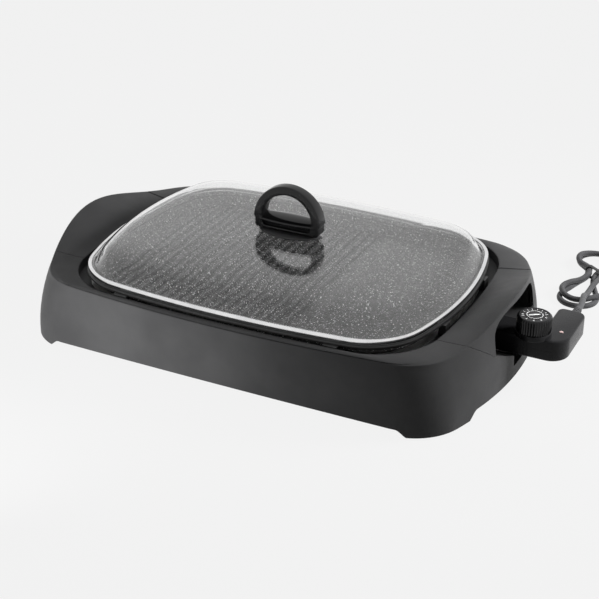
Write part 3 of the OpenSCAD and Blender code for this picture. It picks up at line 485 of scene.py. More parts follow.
def stone():
    """Grey non-stick coating: mottling, painted shade in the grooves between the ribs with a
    painted highlight on their crests, and pale specks.
    """
    finish, tree, shader = fresh("stone_coating")
    place = add(tree, "ShaderNodeTexCoord")
    mottle = ramp(tree, noise(tree, 210.0, 5.0, 0.7), [(0.32, 0.028), (0.5, 0.07), (0.68, 0.125)])
    broad = ramp(tree, noise(tree, 14.0, 2.0, 0.5), [(0.3, 0.82), (0.7, 1.1)])
    colour = blend(tree, "MULTIPLY", 1.0, mottle, broad)
    spot = add(tree, "ShaderNodeSeparateXYZ")
    tree.links.new(place.outputs["Object"], spot.inputs[0])
    # Painted shade low in the grooves and painted highlight on the rib crests, by height.
    groove = add(tree, "ShaderNodeMapRange", **{"From Min": GROOVE_SHADE_Z, "From Max": RIB_HIGHLIGHT_Z,
                                                "To Min": 0.55, "To Max": 1.2})
    tree.links.new(spot.outputs["Z"], groove.inputs["Value"])
    flat_side = add(tree, "ShaderNodeMapRange", **{"From Min": RIBS_END_X, "From Max": FLAT_X})
    tree.links.new(spot.outputs["X"], flat_side.inputs["Value"])
    shade = blend(tree, "MIX", flat_side.outputs[0], groove.outputs[0], (1, 1, 1, 1))
    colour = blend(tree, "MULTIPLY", 1.0, colour, shade)
    for scale, size, tone in SPECKS:
        cells = add(tree, "ShaderNodeTexVoronoi", Scale=scale)
        tree.links.new(place.outputs["Object"], cells.inputs["Vector"])
        dot = ramp(tree, cells.outputs["Distance"], [(size - SPECK_RIM, 1.0), (size, 0.0)])
        chosen = add(tree, "ShaderNodeSeparateColor")
        tree.links.new(cells.outputs["Color"], chosen.inputs[0])
        some = math_node(tree, "GREATER_THAN", chosen.outputs[0], SPECK_CUT)
        share = blend(tree, "MULTIPLY", 1.0, dot, some)
        colour = blend(tree, "MIX", share, colour, (tone, tone, tone, 1))
    side = add(tree, "ShaderNodeAttribute", attribute_name="cooking_side").outputs["Fac"]
    black = ramp(tree, noise(tree, 60.0), [(0.3, 0.004), (0.7, 0.008)])
    tree.links.new(blend(tree, "MIX", side, black, colour), shader.inputs["Base Color"])
    drive(tree, shader, "Roughness", noise(tree, 300.0, 3.0, 0.6), 0.34, 0.5)
    bump(tree, shader, noise(tree, 900.0, 3.0, 0.6), 0.00008)
    return finish


def clear_glass():
    finish, tree, shader = fresh("clear_glass")
    shader.inputs["Transmission Weight"].default_value = 1.0
    shader.inputs["IOR"].default_value = 1.46
    drive(tree, shader, "Base Color", noise(tree, 9.0, 2.0), 0.985, 1.0)
    tree.links.new(ramp(tree, noise(tree, 60.0, 4.0), [(0.4, 0.0), (0.8, 0.004)]),
                   shader.inputs["Roughness"])
    bump(tree, shader, noise(tree, 7.0, 1.0), 0.00005, 0.1)
    return finish


charcoal = moulded("satin_charcoal", (0.024, 0.024, 0.0245), (0.032, 0.032, 0.0325),
                   0.38, 0.46, 2600.0, 0.00005, 0.09)
cover_black = moulded("plain_black_moulding", 0.012, 0.02, 0.5, 0.62, 1800.0, 0.00012, 0.35)
loop_black = moulded("gloss_black_phenolic", (0.003, 0.003, 0.0032), (0.005, 0.005, 0.0053),
                     0.08, 0.14, 900.0, 0.00001, 0.3)
# The seat is the loop's black phenolic with a satin roughness. Its base colour is far lighter than
# the loop's as a painted reflection of the sky on its top.
seat_satin_painted_reflection = moulded("satin_black_phenolic_painted_reflection", (0.03, 0.03, 0.031), (0.04, 0.04, 0.041),
                     0.28, 0.36, 1400.0, 0.00002, 0.35)
dial_black = moulded("dial_black", (0.004, 0.004, 0.0043), (0.007, 0.007, 0.0074),
                     0.14, 0.2, 2600.0, 0.00002, 0.25)
case_grey = moulded("controller_charcoal", (0.007, 0.007, 0.0075), (0.01, 0.01, 0.0105),
                    0.2, 0.28, 2600.0, 0.00003, 0.13)
rubber = moulded("foot_rubber", 0.012, 0.022, 0.7, 0.85, 1500.0, 0.00015, 0.3)
cord_skin = moulded("cord_jacket", (0.024, 0.024, 0.025), (0.036, 0.036, 0.038),
                    0.42, 0.56, 1600.0, 0.00008, 0.45, 60.0)
screw_steel = metal("screw_steel", 0.42, (0.6, 0.6, 0.59), 0.25, 0.42, (1, 1, 6), 500.0,
                    0.00003)
sheet_steel = metal("aluminised_sheet", 0.5, (0.64, 0.64, 0.63), 0.34, 0.5, (1, 14, 1), 160.0,
                    0.00004)
tube_steel = metal("tube_sheath", (0.09, 0.08, 0.075), (0.2, 0.18, 0.17), 0.4, 0.62,
                   (1, 1, 1), 300.0, 0.00005)
rim_steel = metal("polished_rim", (0.72, 0.72, 0.73), 0.86, 0.12, 0.2, (1, 1, 20), 260.0,
                  0.000008)
brass = metal("contact_brass", (0.5, 0.36, 0.14), (0.68, 0.52, 0.24), 0.26, 0.4,
              (1, 1, 1), 400.0, 0.00002)
tray_black = moulded("tray_coating", 0.016, 0.028, 0.3, 0.48, 1100.0, 0.0001)
ceramic = moulded("ceramic_block", (0.52, 0.49, 0.42), (0.64, 0.61, 0.54), 0.6, 0.8,
                  900.0, 0.00015, 0.4)
stone_coat = stone()
glass = clear_glass()
print_grey = moulded("dial_ink", 0.42, 0.52, 0.5, 0.6, 3000.0, 0.00001)
lens_pale, lens_tree, lens_shader = fresh("indicator_lens")
lens_shader.inputs["Transmission Weight"].default_value = 0.25
drive(lens_tree, lens_shader, "Base Color", noise(lens_tree, 700.0), (0.34, 0.24, 0.23),
      (0.44, 0.32, 0.31))
drive(lens_tree, lens_shader, "Roughness", noise(lens_tree, 900.0), 0.12, 0.2)

# ---- supply cord ----
def round_wire(name, points, radius, sides):
    """A poly curve with a round section and capped ends."""
    curve = bpy.data.curves.new(name, "CURVE")
    curve.dimensions = "3D"
    curve.bevel_depth = radius
    curve.bevel_resolution = sides
    curve.use_fill_caps = True
    line = curve.splines.new("POLY")
    line.points.add(len(points) - 1)
    for point, place in zip(line.points, points):
        point.co = (*(Vector(place) * MM), 1)
    line.use_smooth = True
    wire = bpy.data.objects.new(name, curve)
    bpy.context.scene.collection.objects.link(wire)
    return wire


cord_points = [
    (274.5, 78, 43.5), (273.9, 88.5, 42.8), (272.5, 98.8, 41.3), (270.5, 108.8, 39),
    (268.4, 118.7, 35.9), (266.1, 128.3, 32.4), (263.9, 137.9, 28.5), (261.9, 147.3, 24.4),
    (260.5, 156.5, 19.9), (259.3, 166.2, 16.1), (258.2, 176, 13.1), (257.2, 186.1, 10.8),
    (256.5, 196.4, 9.3), (256.3, 206.7, 9), (256.6, 217, 8.2), (256.2, 227.2, 6),
    (255.7, 237.4, 4.4), (257.2, 247.5, 3.6), (259.5, 257.6, 3.1), (260, 267.9, 3.1),
    (259.8, 278.3, 3.1), (256.5, 288, 3.1), (248.7, 294.7, 3.1), (238.5, 296.4, 3.1),
    (228.9, 292.4, 3.1), (222.9, 284.1, 3.1), (222, 273.9, 3.1), (226.1, 264.6, 3.1),
    (233.2, 257.1, 3.1), (239.7, 249.1, 3.5), (242.5, 239.3, 4.1), (241, 229.1, 3.3),
    (237.7, 219.3, 3.1), (234.9, 209.4, 3.1), (232.3, 199.3, 3.1), (229.4, 189.4, 3.1),
    (228.5, 179.2, 3.1), (232, 169.6, 3.1), (240, 163.2, 3.1), (250.4, 161.9, 3.1),
    (259.8, 166.2, 3.1), (265.5, 174.8, 3.1), (266.1, 185, 3.1), (263, 194.8, 3.1),
    (258.9, 204.3, 3.1), (254.9, 213.9, 3.1), (251.7, 223.7, 3.1), (249.8, 233.9, 3.8),
    (250.3, 244.1, 4.3), (253.7, 253.6, 6.1), (258.4, 262.4, 8.7), (260, 272.5, 9),
    (256.5, 282.1, 8.3), (248.4, 288.4, 7), (238, 289.5, 6.6), (228.6, 284.9, 7.3),
    (223.3, 276.1, 8.7), (223.1, 265.9, 8.8), (227.9, 256.9, 8), (235.7, 250.2, 8.6),
    (241.9, 242.1, 10), (243.8, 232.1, 9.3), (242.4, 222, 8), (238.9, 212.3, 8.2),
    (233.1, 203.8, 8.9), (228.4, 194.7, 8.6), (228.6, 184.5, 8.8), (233.7, 175.7, 7.6),
    (242.8, 170.9, 6.4), (253.2, 171.6, 6.4), (261.6, 177.9, 7.4), (268.2, 184.9, 7.9),
    (274.9, 192.2, 7.6), (280.9, 199.6, 7.6), (285.4, 207.6, 8.2), (287.7, 216.5, 8.9),
    (288, 225, 9)]
cord_line = smooth_line(cord_points, 4)
cord = round_wire("supply_cord", cord_line, 0.003, 5)
cord.data.materials.append(cord_skin)
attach(cord, "controller")
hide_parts("cord", "cord_hank")


def oval(width, height, power, count=40):
    """Points of a rounded rectangle, width and height across."""
    points = []
    for k in range(count):
        t = 2 * math.pi * k / count
        c, s = math.cos(t), math.sin(t)
        points.append((width / 2 * math.copysign(abs(c) ** (2 / power), c),
                       height / 2 * math.copysign(abs(s) ** (2 / power), s)))
    return points


def along_y(rows, x, z, count=40):
    """Rings of rounded rectangles along Y; a row is y, width, height and squareness."""
    return [[(x + u, y, z + v) for u, v in oval(w, h, p, count)] for y, w, h, p in rows]


# The middles (x, z) of the outermost strands that pass under the tie.
TIED_STRANDS = ((242.5, 4.2), (255.8, 4.2), (243, 10.1))


def round_strands(radius, y, count=64):
    """A loop drawn tight round the strands that lie under the tie."""
    loop = []
    for k in range(count):
        t = 2 * math.pi * k / count
        c, s = math.cos(t), math.sin(t)
        x, z = max(TIED_STRANDS, key=lambda strand: strand[0] * c + strand[1] * s)
        loop.append((x + radius * c, y, z + radius * s))
    return loop


tie_rings = [round_strands(radius, 240 + shift)
             for radius, shift in ((4.15, -2.6), (4.15, 2.6), (3.25, 2.6), (3.25, -2.6))]
tie = grow("bundle_tie", tie_rings)
round_edges(tie, 0.3, 2)
smooth(tie)
fit(tie, cover_black, "cord_jacket", "controller", "cord_tie")

plug_rows = [
    (216, 8.6, 8.6, 2), (218.5, 9.6, 9.4, 2), (219, 8.2, 8.2, 2), (220.6, 8.4, 8.4, 2),
    (221.1, 10.6, 10.2, 2), (223, 11, 10.6, 2), (223.5, 9.4, 9.2, 2), (225.1, 9.8, 9.6, 2),
    (225.6, 12.2, 11.6, 2.1), (227.5, 12.8, 12, 2.2), (228, 11.2, 10.8, 2.2),
    (229.6, 12, 11.4, 2.2), (230.2, 14.6, 13, 2.4), (232.6, 18, 14.6, 2.8),
    (236, 22.6, 16.4, 3.4), (241, 24.6, 17.4, 3.8), (247, 23.6, 17, 4), (253, 24.2, 17.4, 4.4),
    (258, 26, 18, 5), (259.6, 25.6, 17.6, 5), (260, 24.6, 16.8, 5)]
plug = grow("mains_plug_body", along_y(plug_rows, 288, 9), solid=True)
smooth(plug, 30)
fit(plug, cover_black, "cord_jacket", "controller", "plug_body")

# ---- base housing and end handles ----
def arch_top(y):
    """The upper edge of a hand hole: 4 mm under the crease in the middle, 28 at the ends."""
    return crease_z(0) - 28 + 24 * max(0.0, 1 - (abs(y) / GRIP) ** 3) ** (1 / 3)


arch = [(y, arch_top(y)) for y in [GRIP * math.sin(math.pi / 2 * i / 20) for i in range(-20, 21)]]
grip_shape = arch + [(GRIP, 48.9), (17.1, 32), (-17.1, 32), (-GRIP, 48.9)]


def handle_shape(gap):
    """The handle's outline from the end, drawn in by gap at its seams."""
    low = crease_z(SEAM) - 0.5 + gap
    return [(-SEAM + gap, 127), (-SEAM + gap, low), (-56, 49 + gap), (56, 49 + gap),
            (SEAM - gap, low), (SEAM - gap, 127)]


def handle_zone(gap):
    """The space of the +X end's handle, drawn back by gap at its seams."""
    zone = bar_x("zone", handle_shape(gap), 119, FAR_X)
    inner = bar_z("inner", outline(OPENING, 3.1 + gap), 5, 65.2 + gap)
    return carve(zone, inner)


def base_shell(name):
    """The base moulding as one closed skin: outside, deck, opening and back down inside."""
    outer = [wall_ring(t) for t in (0, 0.12, 0.25, 0.4, 0.55, 0.7, 0.82, 0.92)]
    crease = [crease_ring(0, 1.7), crease_ring(-0.12, 1.0), crease_ring(-0.45, 0.45),
              crease_ring(-1.0, 0.1), crease_ring(-1.8, 0)]
    deck = [deck_ring(s, DECK_BOW * s * (1 - s))
            for s in (0.12, 0.25, 0.38, 0.5, 0.62, 0.75, 0.88)]
    lip = levels(OPENING, [(1.3, OPEN_Z + 0.02), (0.6, OPEN_Z - 0.1), (0.15, OPEN_Z - 0.5),
                           (0, OPEN_Z - 1.2)])
    well = levels(OPENING, [(0, LEDGE_Z + 0.8), (-0.8, LEDGE_Z)])
    ledge = levels(LID_EDGE, [(-6, LEDGE_Z), (-6, LEDGE_Z - 2.5)])
    behind = levels(OPENING, [(WALL, LEDGE_Z - 2.5), (WALL, OPEN_Z - WALL)])
    under = [deck_ring(0.5, 0.9 - WALL), crease_ring(-WALL - 0.4, WALL)]
    inner = [wall_ring(t, -WALL, WALL) for t in reversed(WALL_SHARES)]
    return grow(name, outer + crease + deck + lip + well + ledge + behind + under + inner)


def inner_space(name, inset):
    """The space inside the outer wall, drawn in by inset and open towards the top."""
    return grow(name, [wall_ring(t, -inset) for t in WALL_SHARES]
                + [crease_ring(-inset, 0.2), level(TOP_EDGE, -inset, 107)], solid=True)


housing = base_shell("base_moulding")
handle = twin(housing, "right_handle_moulding")
carve(handle, handle_zone(0.25), "INTERSECT")


def core(depth):
    """The base as a block, drawn in by depth under its skin."""
    return grow("core", [wall_ring(t, -depth) for t in WALL_SHARES]
                + [crease_ring(-depth, 1.7 + depth), crease_ring(-depth - 1.8, depth)]
                + [deck_ring(s, DECK_BOW * s * (1 - s) - depth) for s in (0.25, 0.5, 0.75)]
                + [level(OPENING, 0, OPEN_Z - depth)], solid=True)


seam_line = carve(bar_x("seam_line", handle_shape(-0.3), 150, FAR_X),
                  bar_x("seam_inside", handle_shape(1.4), 149, FAR_X + 1))
arch_tool = bar_x("arch", grip_shape, 199, FAR_X)
carve(handle, carve(arch_tool, inner_space("behind_wall", 4)))
carve(handle, carve(seam_line, core(0.9)))
right_zone = handle_zone(0)
left_zone = mirrored(right_zone, "zone_left")
carve(housing, right_zone)
carve(housing, left_zone)


def recess_block(name):
    """The recess behind a hand hole: its floor joins the outer wall, and its sides and back
    stand free under the handle."""
    half = RECESS_HALF
    low = [(-half, 49), (-half, 46.2), (-19.9, 29.2), (-19.9, 12.5), (19.9, 12.5),
           (19.9, 29.2), (half, 46.2), (half, 49)]
    high = [(-half, 48), (half, 48), (half, 67.7), (-half, 67.7)]
    bottom = carve(inner_space(name, 0.2), bar_x("low_block", low, RECESS_X, FAR_X), "INTERSECT")
    top = carve(inner_space("high", 4.3), bar_x("high_block", high, RECESS_X, FAR_X), "INTERSECT")
    return carve(bottom, top, "UNION")


def rise(step):
    """A soft rise from 0 to 1."""
    return (1 - math.cos(math.pi * step)) / 2


def skirt_shape(half, side_len, up):
    """The raised lower edge of the wall between two corner feet."""
    edge = half - side_len
    left = [(edge + 7 * (1 - 2 * i / 12), up * rise(i / 12)) for i in range(13)]
    right = [(-edge - 7 * (1 - 2 * i / 12), up * rise(i / 12)) for i in range(12, -1, -1)]
    return [(edge + 7, -5)] + left + right + [(-edge - 7, -5)]


right_recess = recess_block("recess")
left_recess = mirrored(right_recess, "recess_left")
carve(housing, right_recess, "UNION")
carve(housing, left_recess, "UNION")
scoop = bar_x("scoop", grip_shape, 209, FAR_X)
left_scoop = mirrored(scoop, "scoop_left")
carve(housing, scoop)
carve(housing, left_scoop)
notch = [(-17.1, 21), (17.1, 21), (17.1, CASE_MID), (-17.1, CASE_MID)]
port = [(-19.2, CASE_LOW), (19.2, CASE_LOW), (19.2, CASE_TOP), (-19.2, CASE_TOP)]
carve(housing, bar_x("notch", notch, 209, 300))
carve(housing, bar_x("port", port, 203, 212))
carve(housing, bar_y("skirt", skirt_shape(238, 52, 8), -300, 300))
carve(housing, bar_x("end_skirt", skirt_shape(150, 58, 9), -480, 480))
for x in (-FOOT_X, FOOT_X):
    for y in (-FOOT_Y, FOOT_Y):
        boss = rod("foot_boss", (x, y, 1.3), "z", 9.6, 11.2, 40)
        carve(housing, boss, "UNION")
        carve(housing, rod("foot_hole", (x, y, 0), "z", 8.02, 4.2, 40))
smooth(housing, 32)
fit(housing, charcoal, "charcoal_plastic", "base", "base_housing")
smooth(handle, 32)
left_grip = mirrored(handle, "left_handle_moulding")
smooth(left_grip, 32)
fit(handle, charcoal, "charcoal_plastic", "base", "right_handle")
fit(left_grip, charcoal, "charcoal_plastic", "base", "left_handle")


def turn_points(cx, cy, radius, start, stop, count):
    """Points on an arc, from one angle to another in degrees."""
    turns = [math.radians(start + (stop - start) * i / count) for i in range(count + 1)]
    return [(cx + radius * math.cos(t), cy + radius * math.sin(t)) for t in turns]


# ---- heating tube ----
def bend(cx, cy, start, stop):
    return [(x, y, TUBE_Z) for x, y in turn_points(cx, cy, TUBE_BEND, start, stop, 6)]


half_line = ([(191.2, -10, 43.5), (185.2, -10, 43.5), (177, -10, 44.7), (169, -10, 48.8),
              (163.5, -10, TUBE_Z)]
             + bend(165, -25, 90, 180)[1:] + bend(135, -70, 0, -90) + bend(-135, -70, -90, -180)
             + bend(-135, -45, 180, 90) + bend(97, -15, -90, 0))
tube_line = half_line + [(x, -y, z) for x, y, z in reversed(half_line)]
take(round_wire("heating_tube", tube_line, 0.00325, 4))
bpy.ops.object.convert(target="MESH")
tube = bpy.context.object
smooth(tube, 50)
fit(tube, tube_steel, "tube_steel", "base", "heating_element")


# ---- grill plate ----
def plate_reach(x, out):
    """Half the plate's depth at x, moved outwards by out."""
    return max(y for (u, y), (w, _) in zip(outline(LID_EDGE, out), outline(LID_EDGE, out)[1:])
               if min(u, w) - 0.01 <= x <= max(u, w) + 0.01)


plate = grow("grill_plate_casting", levels(LID_EDGE, [
    (-15.5, 54.5), (-13, 55), (-11.4, 56.6), (-10.2, 60), (-9, 67.6), (-8, 68.5), (0.3, 68.5),
    (0.8, 68.7), (1, 69.2), (1, 70.8), (0.8, 71.3), (0.3, 71.5), (-5, 71.5), (-6.2, 71.2),
    (-7.2, 70), (-10, 64.6), (-12.4, 60.6), (-13.8, 59), (-15.4, 58.2), (-17.6, FLOOR_Z)]),
             solid=True)


# A rib's section as shares of its half width and height, and its run from end to end as
# share of its half length, height and width.
RIB_SECTION = ((-1, -0.7), (1, -0.7), (1, 0), (0.66, 0.45), (0.46, 0.84), (0.2, 1),
               (-0.2, 1), (-0.46, 0.84), (-0.66, 0.45), (-1, 0))
RIB_RUN = ((-1, 0.2, 2.6), (-0.985, 1.2, 3.6), (-0.965, 2.3, 4.4), (-0.93, 2.9, 4.9),
           (-0.88, 3, 5), (0, 3, 5), (0.88, 3, 5), (0.93, 2.9, 4.9), (0.965, 2.3, 4.4),
           (0.985, 1.2, 3.6), (1, 0.2, 2.6))
RIB_FIRST, RIB_PITCH, RIB_COUNT = -151.9, 10.4, 20


def rib_at(x):
    """One cooking rib with a round crest and ends that run down into the floor."""
    half = plate_reach(abs(x), -21.5)
    rings = [[(x + width / 2 * u, s * half, FLOOR_Z + (height * v if v > 0 else v))
              for u, v in RIB_SECTION] for s, height, width in RIB_RUN]
    return grow("rib", rings, solid=True)


def lug_at(x, y, half_x, half_y):
    """A lug under the flange, which rests on the base's ledge."""
    return bar_z("lug", [(x - half_x, y - half_y), (x + half_x, y - half_y),
                         (x + half_x, y + half_y), (x - half_x, y + half_y)], 59, 69.5)


def drain_shape(x, y=-120.6, half=11, radius=2):
    """A slot with round ends."""
    turns = [math.pi * k / 10 for k in range(11)]
    return ([(x + half + radius * math.sin(t), y - radius * math.cos(t)) for t in turns]
            + [(x - half - radius * math.sin(t), y + radius * math.cos(t)) for t in turns])


ribs = [rib_at(RIB_FIRST + RIB_PITCH * i) for i in range(RIB_COUNT)]
plate = carve(plate, weld(*ribs), "UNION")
lugs = [lug_at(x, s * 136.6, 7, 2.5) for x in (-110, 110) for s in (-1, 1)]
lugs += [lug_at(e * 184.9, s * 52, 3.5, 5) for s in (-1, 1) for e in (-1, 1)]
plate = carve(plate, weld(*lugs), "UNION")
for x in (-100, -48, 4):
    carve(plate, bar_z("drain", drain_shape(x), 50, 60))


def mark_cooking_side(part):
    """Marks the faces inside the flange, which carry the stone coating."""
    edge = outline(LID_EDGE, -4.4)
    pairs = list(zip(edge, edge[1:] + edge[:1]))
    mark = part.data.attributes.new("cooking_side", "FLOAT", "FACE")
    for face in part.data.polygons:
        x, y, z = face.center / MM
        if z > 57.2 and face.normal.z > -0.2:
            mark.data[face.index].value = float(all(
                (c - a) * (y - b) > (d - b) * (x - a) for (a, b), (c, d) in pairs))


mark_cooking_side(plate)
smooth(plate, 40)
fit(plate, stone_coat, "stone_coating", "plate", "grill_plate")

# ---- lid ----
rim = grow("lid_rim_band", levels(LID_EDGE, [
    (-1.0, 71.5), (-0.75, 71.75), (-0.5, 72.3), (0, 75.9), (-0.25, 76.7), (-0.9, 77.1),
    (-1.8, 77.2), (-3.1, 77.2), (-3.6, 77), (-3.8, 76.6), (-3.8, 76.1), (-1.1, 76.1),
    (-1.4, 72.6), (-5, 72.6), (-5, 71.5)]))
smooth(rim, 40)
fit(rim, rim_steel, "rim_steel", "lid", "lid_rim")


def shrunk(rows):
    """Rings towards the dome's middle; a row is share and height."""
    far_ring = outline(LID_EDGE, -34)
    return [[(x * share, y * share, z) for x, y in far_ring] for share, z in rows]


glass_over = levels(LID_EDGE, [(-1.1, GLASS_Z - 0.8), (-1.9, GLASS_Z)])
glass_over += soften(
    levels(LID_EDGE, [(-5.8, GLASS_Z), (-8, GLASS_Z + 0.1 * DOME), (-13, GLASS_Z + 0.42 * DOME),
                      (-19, GLASS_Z + 0.66 * DOME), (-34, GLASS_Z + 0.84 * DOME)])
    + shrunk([(0.72, GLASS_Z + 0.945 * DOME), (0.42, GLASS_Z + 0.985 * DOME),
              (0.11, CROWN_Z), (0.04, CROWN_Z)]), 4)
glass_under = soften(
    shrunk([(0.04, CROWN_Z - GLASS_T), (0.11, CROWN_Z - GLASS_T),
            (0.42, GLASS_Z + 0.985 * DOME - GLASS_T), (0.72, GLASS_Z + 0.945 * DOME - GLASS_T)])
    + levels(LID_EDGE, [(-34 - 0.3 * GLASS_T, GLASS_Z + 0.84 * DOME - GLASS_T),
                        (-19 - 0.55 * GLASS_T, GLASS_Z + 0.66 * DOME - 0.85 * GLASS_T),
                        (-13 - 0.75 * GLASS_T, GLASS_Z + 0.42 * DOME - 0.75 * GLASS_T),
                        (-8 - 0.7 * GLASS_T, GLASS_Z + 0.1 * DOME - 0.75 * GLASS_T),
                        (-6.8, GLASS_Z - GLASS_T)]), 4)
glass_edge = levels(LID_EDGE, [(-1.9, GLASS_Z - GLASS_T), (-1.1, GLASS_Z - 2.6)])
pane = grow("lid_pane", glass_over + glass_under + glass_edge)
smooth(pane, 50)
fit(pane, glass, "lid_glass", "lid", "lid_glass")

# ---- loop handle ----
def point_on(half, low, top_r, t):
    """Where a ray from the loop's centre leaves a round arch that stands on a flat foot."""
    c, s = math.cos(t), math.sin(t)
    if s >= 0:
        return top_r * c, LOOP_Z + top_r * s
    reach = min(half / max(abs(c), 1e-6), (LOOP_Z - low) / abs(s))
    return reach * c, LOOP_Z + reach * s


def half_depth(z):
    """Half the loop's thickness from front to back, which thins upwards."""
    return 8 if z < 110 else 8 - 3.3 * (z - 110) / 60


LOOP_POINTS = 96
loop_turns = [2 * math.pi * (k + 0.5) / LOOP_POINTS + math.pi / 2 for k in range(LOOP_POINTS)]
loop_out = [point_on(34.6, 105.05, 36, t) for t in loop_turns]
loop_in = [point_on(26, 108.0, 27.2, t) for t in loop_turns]
loop_paths = ((-1, loop_in), (-1, loop_out), (1, loop_out), (1, loop_in))
loop = grow("loop", [[(x, side * half_depth(z), z) for x, z in path] for side, path in loop_paths])
round_edges(loop, 1.7, 4, 50)
bar_rings = []
for k in range(-12, 13):
    x = 2.6 * k
    bow = 1 - (k / 12) ** 2
    front = [(7.3 + 3.8 * bow, 115.2), (7.9 + 3.8 * bow, 114.6), (7.9 + 3.8 * bow, 113.8),
             (7 + 3.4 * bow, 113), (6 + 2 * bow, 111.6), (4.6, 109.4), (4.4, 105.1)]
    rear = [(4, 118.6), (7.3 + 6.4 * bow, 116.9), (7.9 + 6.6 * bow, 116.2), (7.6 + 6.4 * bow, 115),
            (6 + 3.4 * bow, 112.2), (4.6, 109.4), (4.4, 105.1)]
    bar_rings.append([(x, -y, z) for y, z in front] + [(x, y, z) for y, z in reversed(rear)])
cross_bar = grow("cross_bar", bar_rings, solid=True)
loop = carve(loop, cross_bar, "UNION")
loop.name = loop.data.name = "lid_loop"
smooth(loop, 38)
fit(loop, loop_black, "black_plastic", "lid", "lid_handle")

# The seat is a lens between two arcs, 17 mm deep a side before its tips are cut at x 35.
SEAT_SIDE = 17
seat_curve = arc_radius(36, SEAT_SIDE)
seat_ring = [(x, SEAT_SIDE - seat_curve + math.sqrt(seat_curve ** 2 - x * x))
             for x in [-35 + 70 * k / 24 for k in range(25)]]
seat_ring += [(x, -y) for x, y in reversed(seat_ring[1:-1])]
seat_ring = [(x, max(-16.8, min(16.8, y))) for x, y in seat_ring]
seat_rows = ((0.9, 101.05), (0.97, 101.3), (1, 102), (0.985, 102.9), (0.8, 104.2), (0.55, 105.05))
seat = grow("loop_seat", [[(x * (0.6 + 0.4 * share), y * share, z) for x, y in seat_ring]
                          for share, z in seat_rows], solid=True)
smooth(seat, 40)
fit(seat, seat_satin_painted_reflection, "black_plastic", "lid", "handle_seat")


# ---- heat controller ----
case_shape = ([(213, -16.2)] + turn_points(271, 1.8, 18, -90, 0, 14)
              + turn_points(280, 46.2, 9, 0, 90, 9) + turn_points(268, 49.2, 6, 90, 180, 7)
              + [(262, 16.2), (213, 16.2)])


def choose_flat(part, kind, z):
    """Selects the edges or faces that lie at height z, in edit mode."""
    bpy.ops.mesh.select_mode(type=kind)
    bpy.ops.mesh.select_all(action="DESELECT")
    mesh = bmesh.from_edit_mesh(part.data)
    for item in mesh.edges if kind == "EDGE" else mesh.faces:
        item.select = all(abs(v.co.z - z * MM) < 1e-6 for v in item.verts)
    bmesh.update_edit_mesh(part.data)


def case_half(name, z0, z1, rounded_z):
    """Half of the controller's case, with a round outer edge and a hollow inside."""
    part = bar_z(name, case_shape, z0, z1)
    bpy.ops.object.mode_set(mode="EDIT")
    choose_flat(part, "EDGE", rounded_z)
    bpy.ops.mesh.bevel(offset=CASE_WALL * MM, segments=4, profile=0.5)
    choose_flat(part, "FACE", z0 if rounded_z == z1 else z1)
    bpy.ops.mesh.inset(thickness=CASE_WALL * MM)
    depth = (z1 - z0 - CASE_WALL) * MM * (1 if rounded_z == z1 else -1)
    bpy.ops.mesh.extrude_region_move(TRANSFORM_OT_translate={"value": (0, 0, depth)})
    bpy.ops.object.mode_set(mode="OBJECT")
    return part


def cut_nose(part):
    """Cuts the pin, probe and cord holes and the grip grooves into half a case."""
    for y in (-10, 10):
        carve(part, rod("pin_hole", (212, y, CASE_MID), "x", 4.1, 3.4, 24))
    carve(part, rod("probe_hole", (212, 0, CASE_MID), "x", 3.05, 3.4, 24))
    carve(part, rod("cord_hole", (CORD_EXIT_X, 51, CASE_MID), "y", 4.5, 8, 24))
    for i in range(5):
        x = 241 + 3 * i
        for y in (-16.6, 15.6):
            groove = [(y, 35), (y + 1, 35), (y + 1, 52), (y, 52)]
            carve(part, bar_x("groove", groove, x, x + 1.4))
    return part


top_case = cut_nose(case_half("controller_lid", CASE_MID, CASE_TOP, CASE_TOP))
collar = rod("collar", (DIAL_AT.x, DIAL_AT.y, 53), "z", 16.8, 5.4, 72)
round_edges(collar, 0.8, 3, 60)
carve(top_case, collar, "UNION")
smooth(top_case, 32)
fit(top_case, case_grey, "charcoal_plastic", "controller", "controller_top")
low_case = cut_nose(case_half("controller_pan", CASE_LOW, CASE_MID - 0.1, CASE_LOW))
smooth(low_case, 32)
fit(low_case, case_grey, "charcoal_plastic", "controller", "controller_bottom")

# The sleeve's rows are y and width across; five grip rings follow the collar.
relief_rows = [(50, 11.2), (52.6, 11.2), (52.7, 8.9), (55.2, 8.9), (55.3, 11), (55.7, 11.6),
               (57.8, 11.6), (58.2, 10.2)]
for i in range(5):
    y = 60.4 + 3.2 * i
    width = 10.2 - 0.5 * i
    relief_rows += [(y, width), (y + 0.25, 7.3), (y + 1.05, 7.3), (y + 1.3, width - 0.2)]
relief_rows += [(77, 7.5), (78, 7.1)]
relief = grow("strain_relief_sleeve", along_y([(y, w, w, 2) for y, w in relief_rows],
                                              CORD_EXIT_X, CASE_MID, 36), solid=True)
smooth(relief, 40)
fit(relief, cord_skin, "cord_jacket", "controller", "strain_relief")

lens_turns = [math.pi * k / 12 for k in range(24)]
lens_rows = ((1.95, 51.8), (1.95, 54.1), (1.75, 54.45), (1.3, 54.5), (0.5, 54.5))
lens = grow("indicator_dome", [[(278.5 + r * math.cos(t), 7.2 + r * math.sin(t), z)
                                for t in lens_turns] for r, z in lens_rows], solid=True)
smooth(lens, 50)
fit(lens, lens_pale, "lamp", "controller", "indicator_lens")


# ---- dial ----
DIAL_POINTS = 240
DIAL_RIBS = 40
# A row is radius, height over the dial's foot, and half the height of the grip ribs.
DIAL_ROWS = ((14, 0, 0), (15.8, 0, 0.3), (15.95, 0.4, 0.35), (15.95, 13.2, 0.35),
             (15.6, 14, 0.15), (15.1, 14.6, 0), (14.5, 14.9, 0), (13.9, 15, 0), (13.5, 14.9, 0),
             (13.3, 14.6, 0), (9.2, 14.6, 0), (8.9, 14.9, 0), (8.2, 14.95, 0))


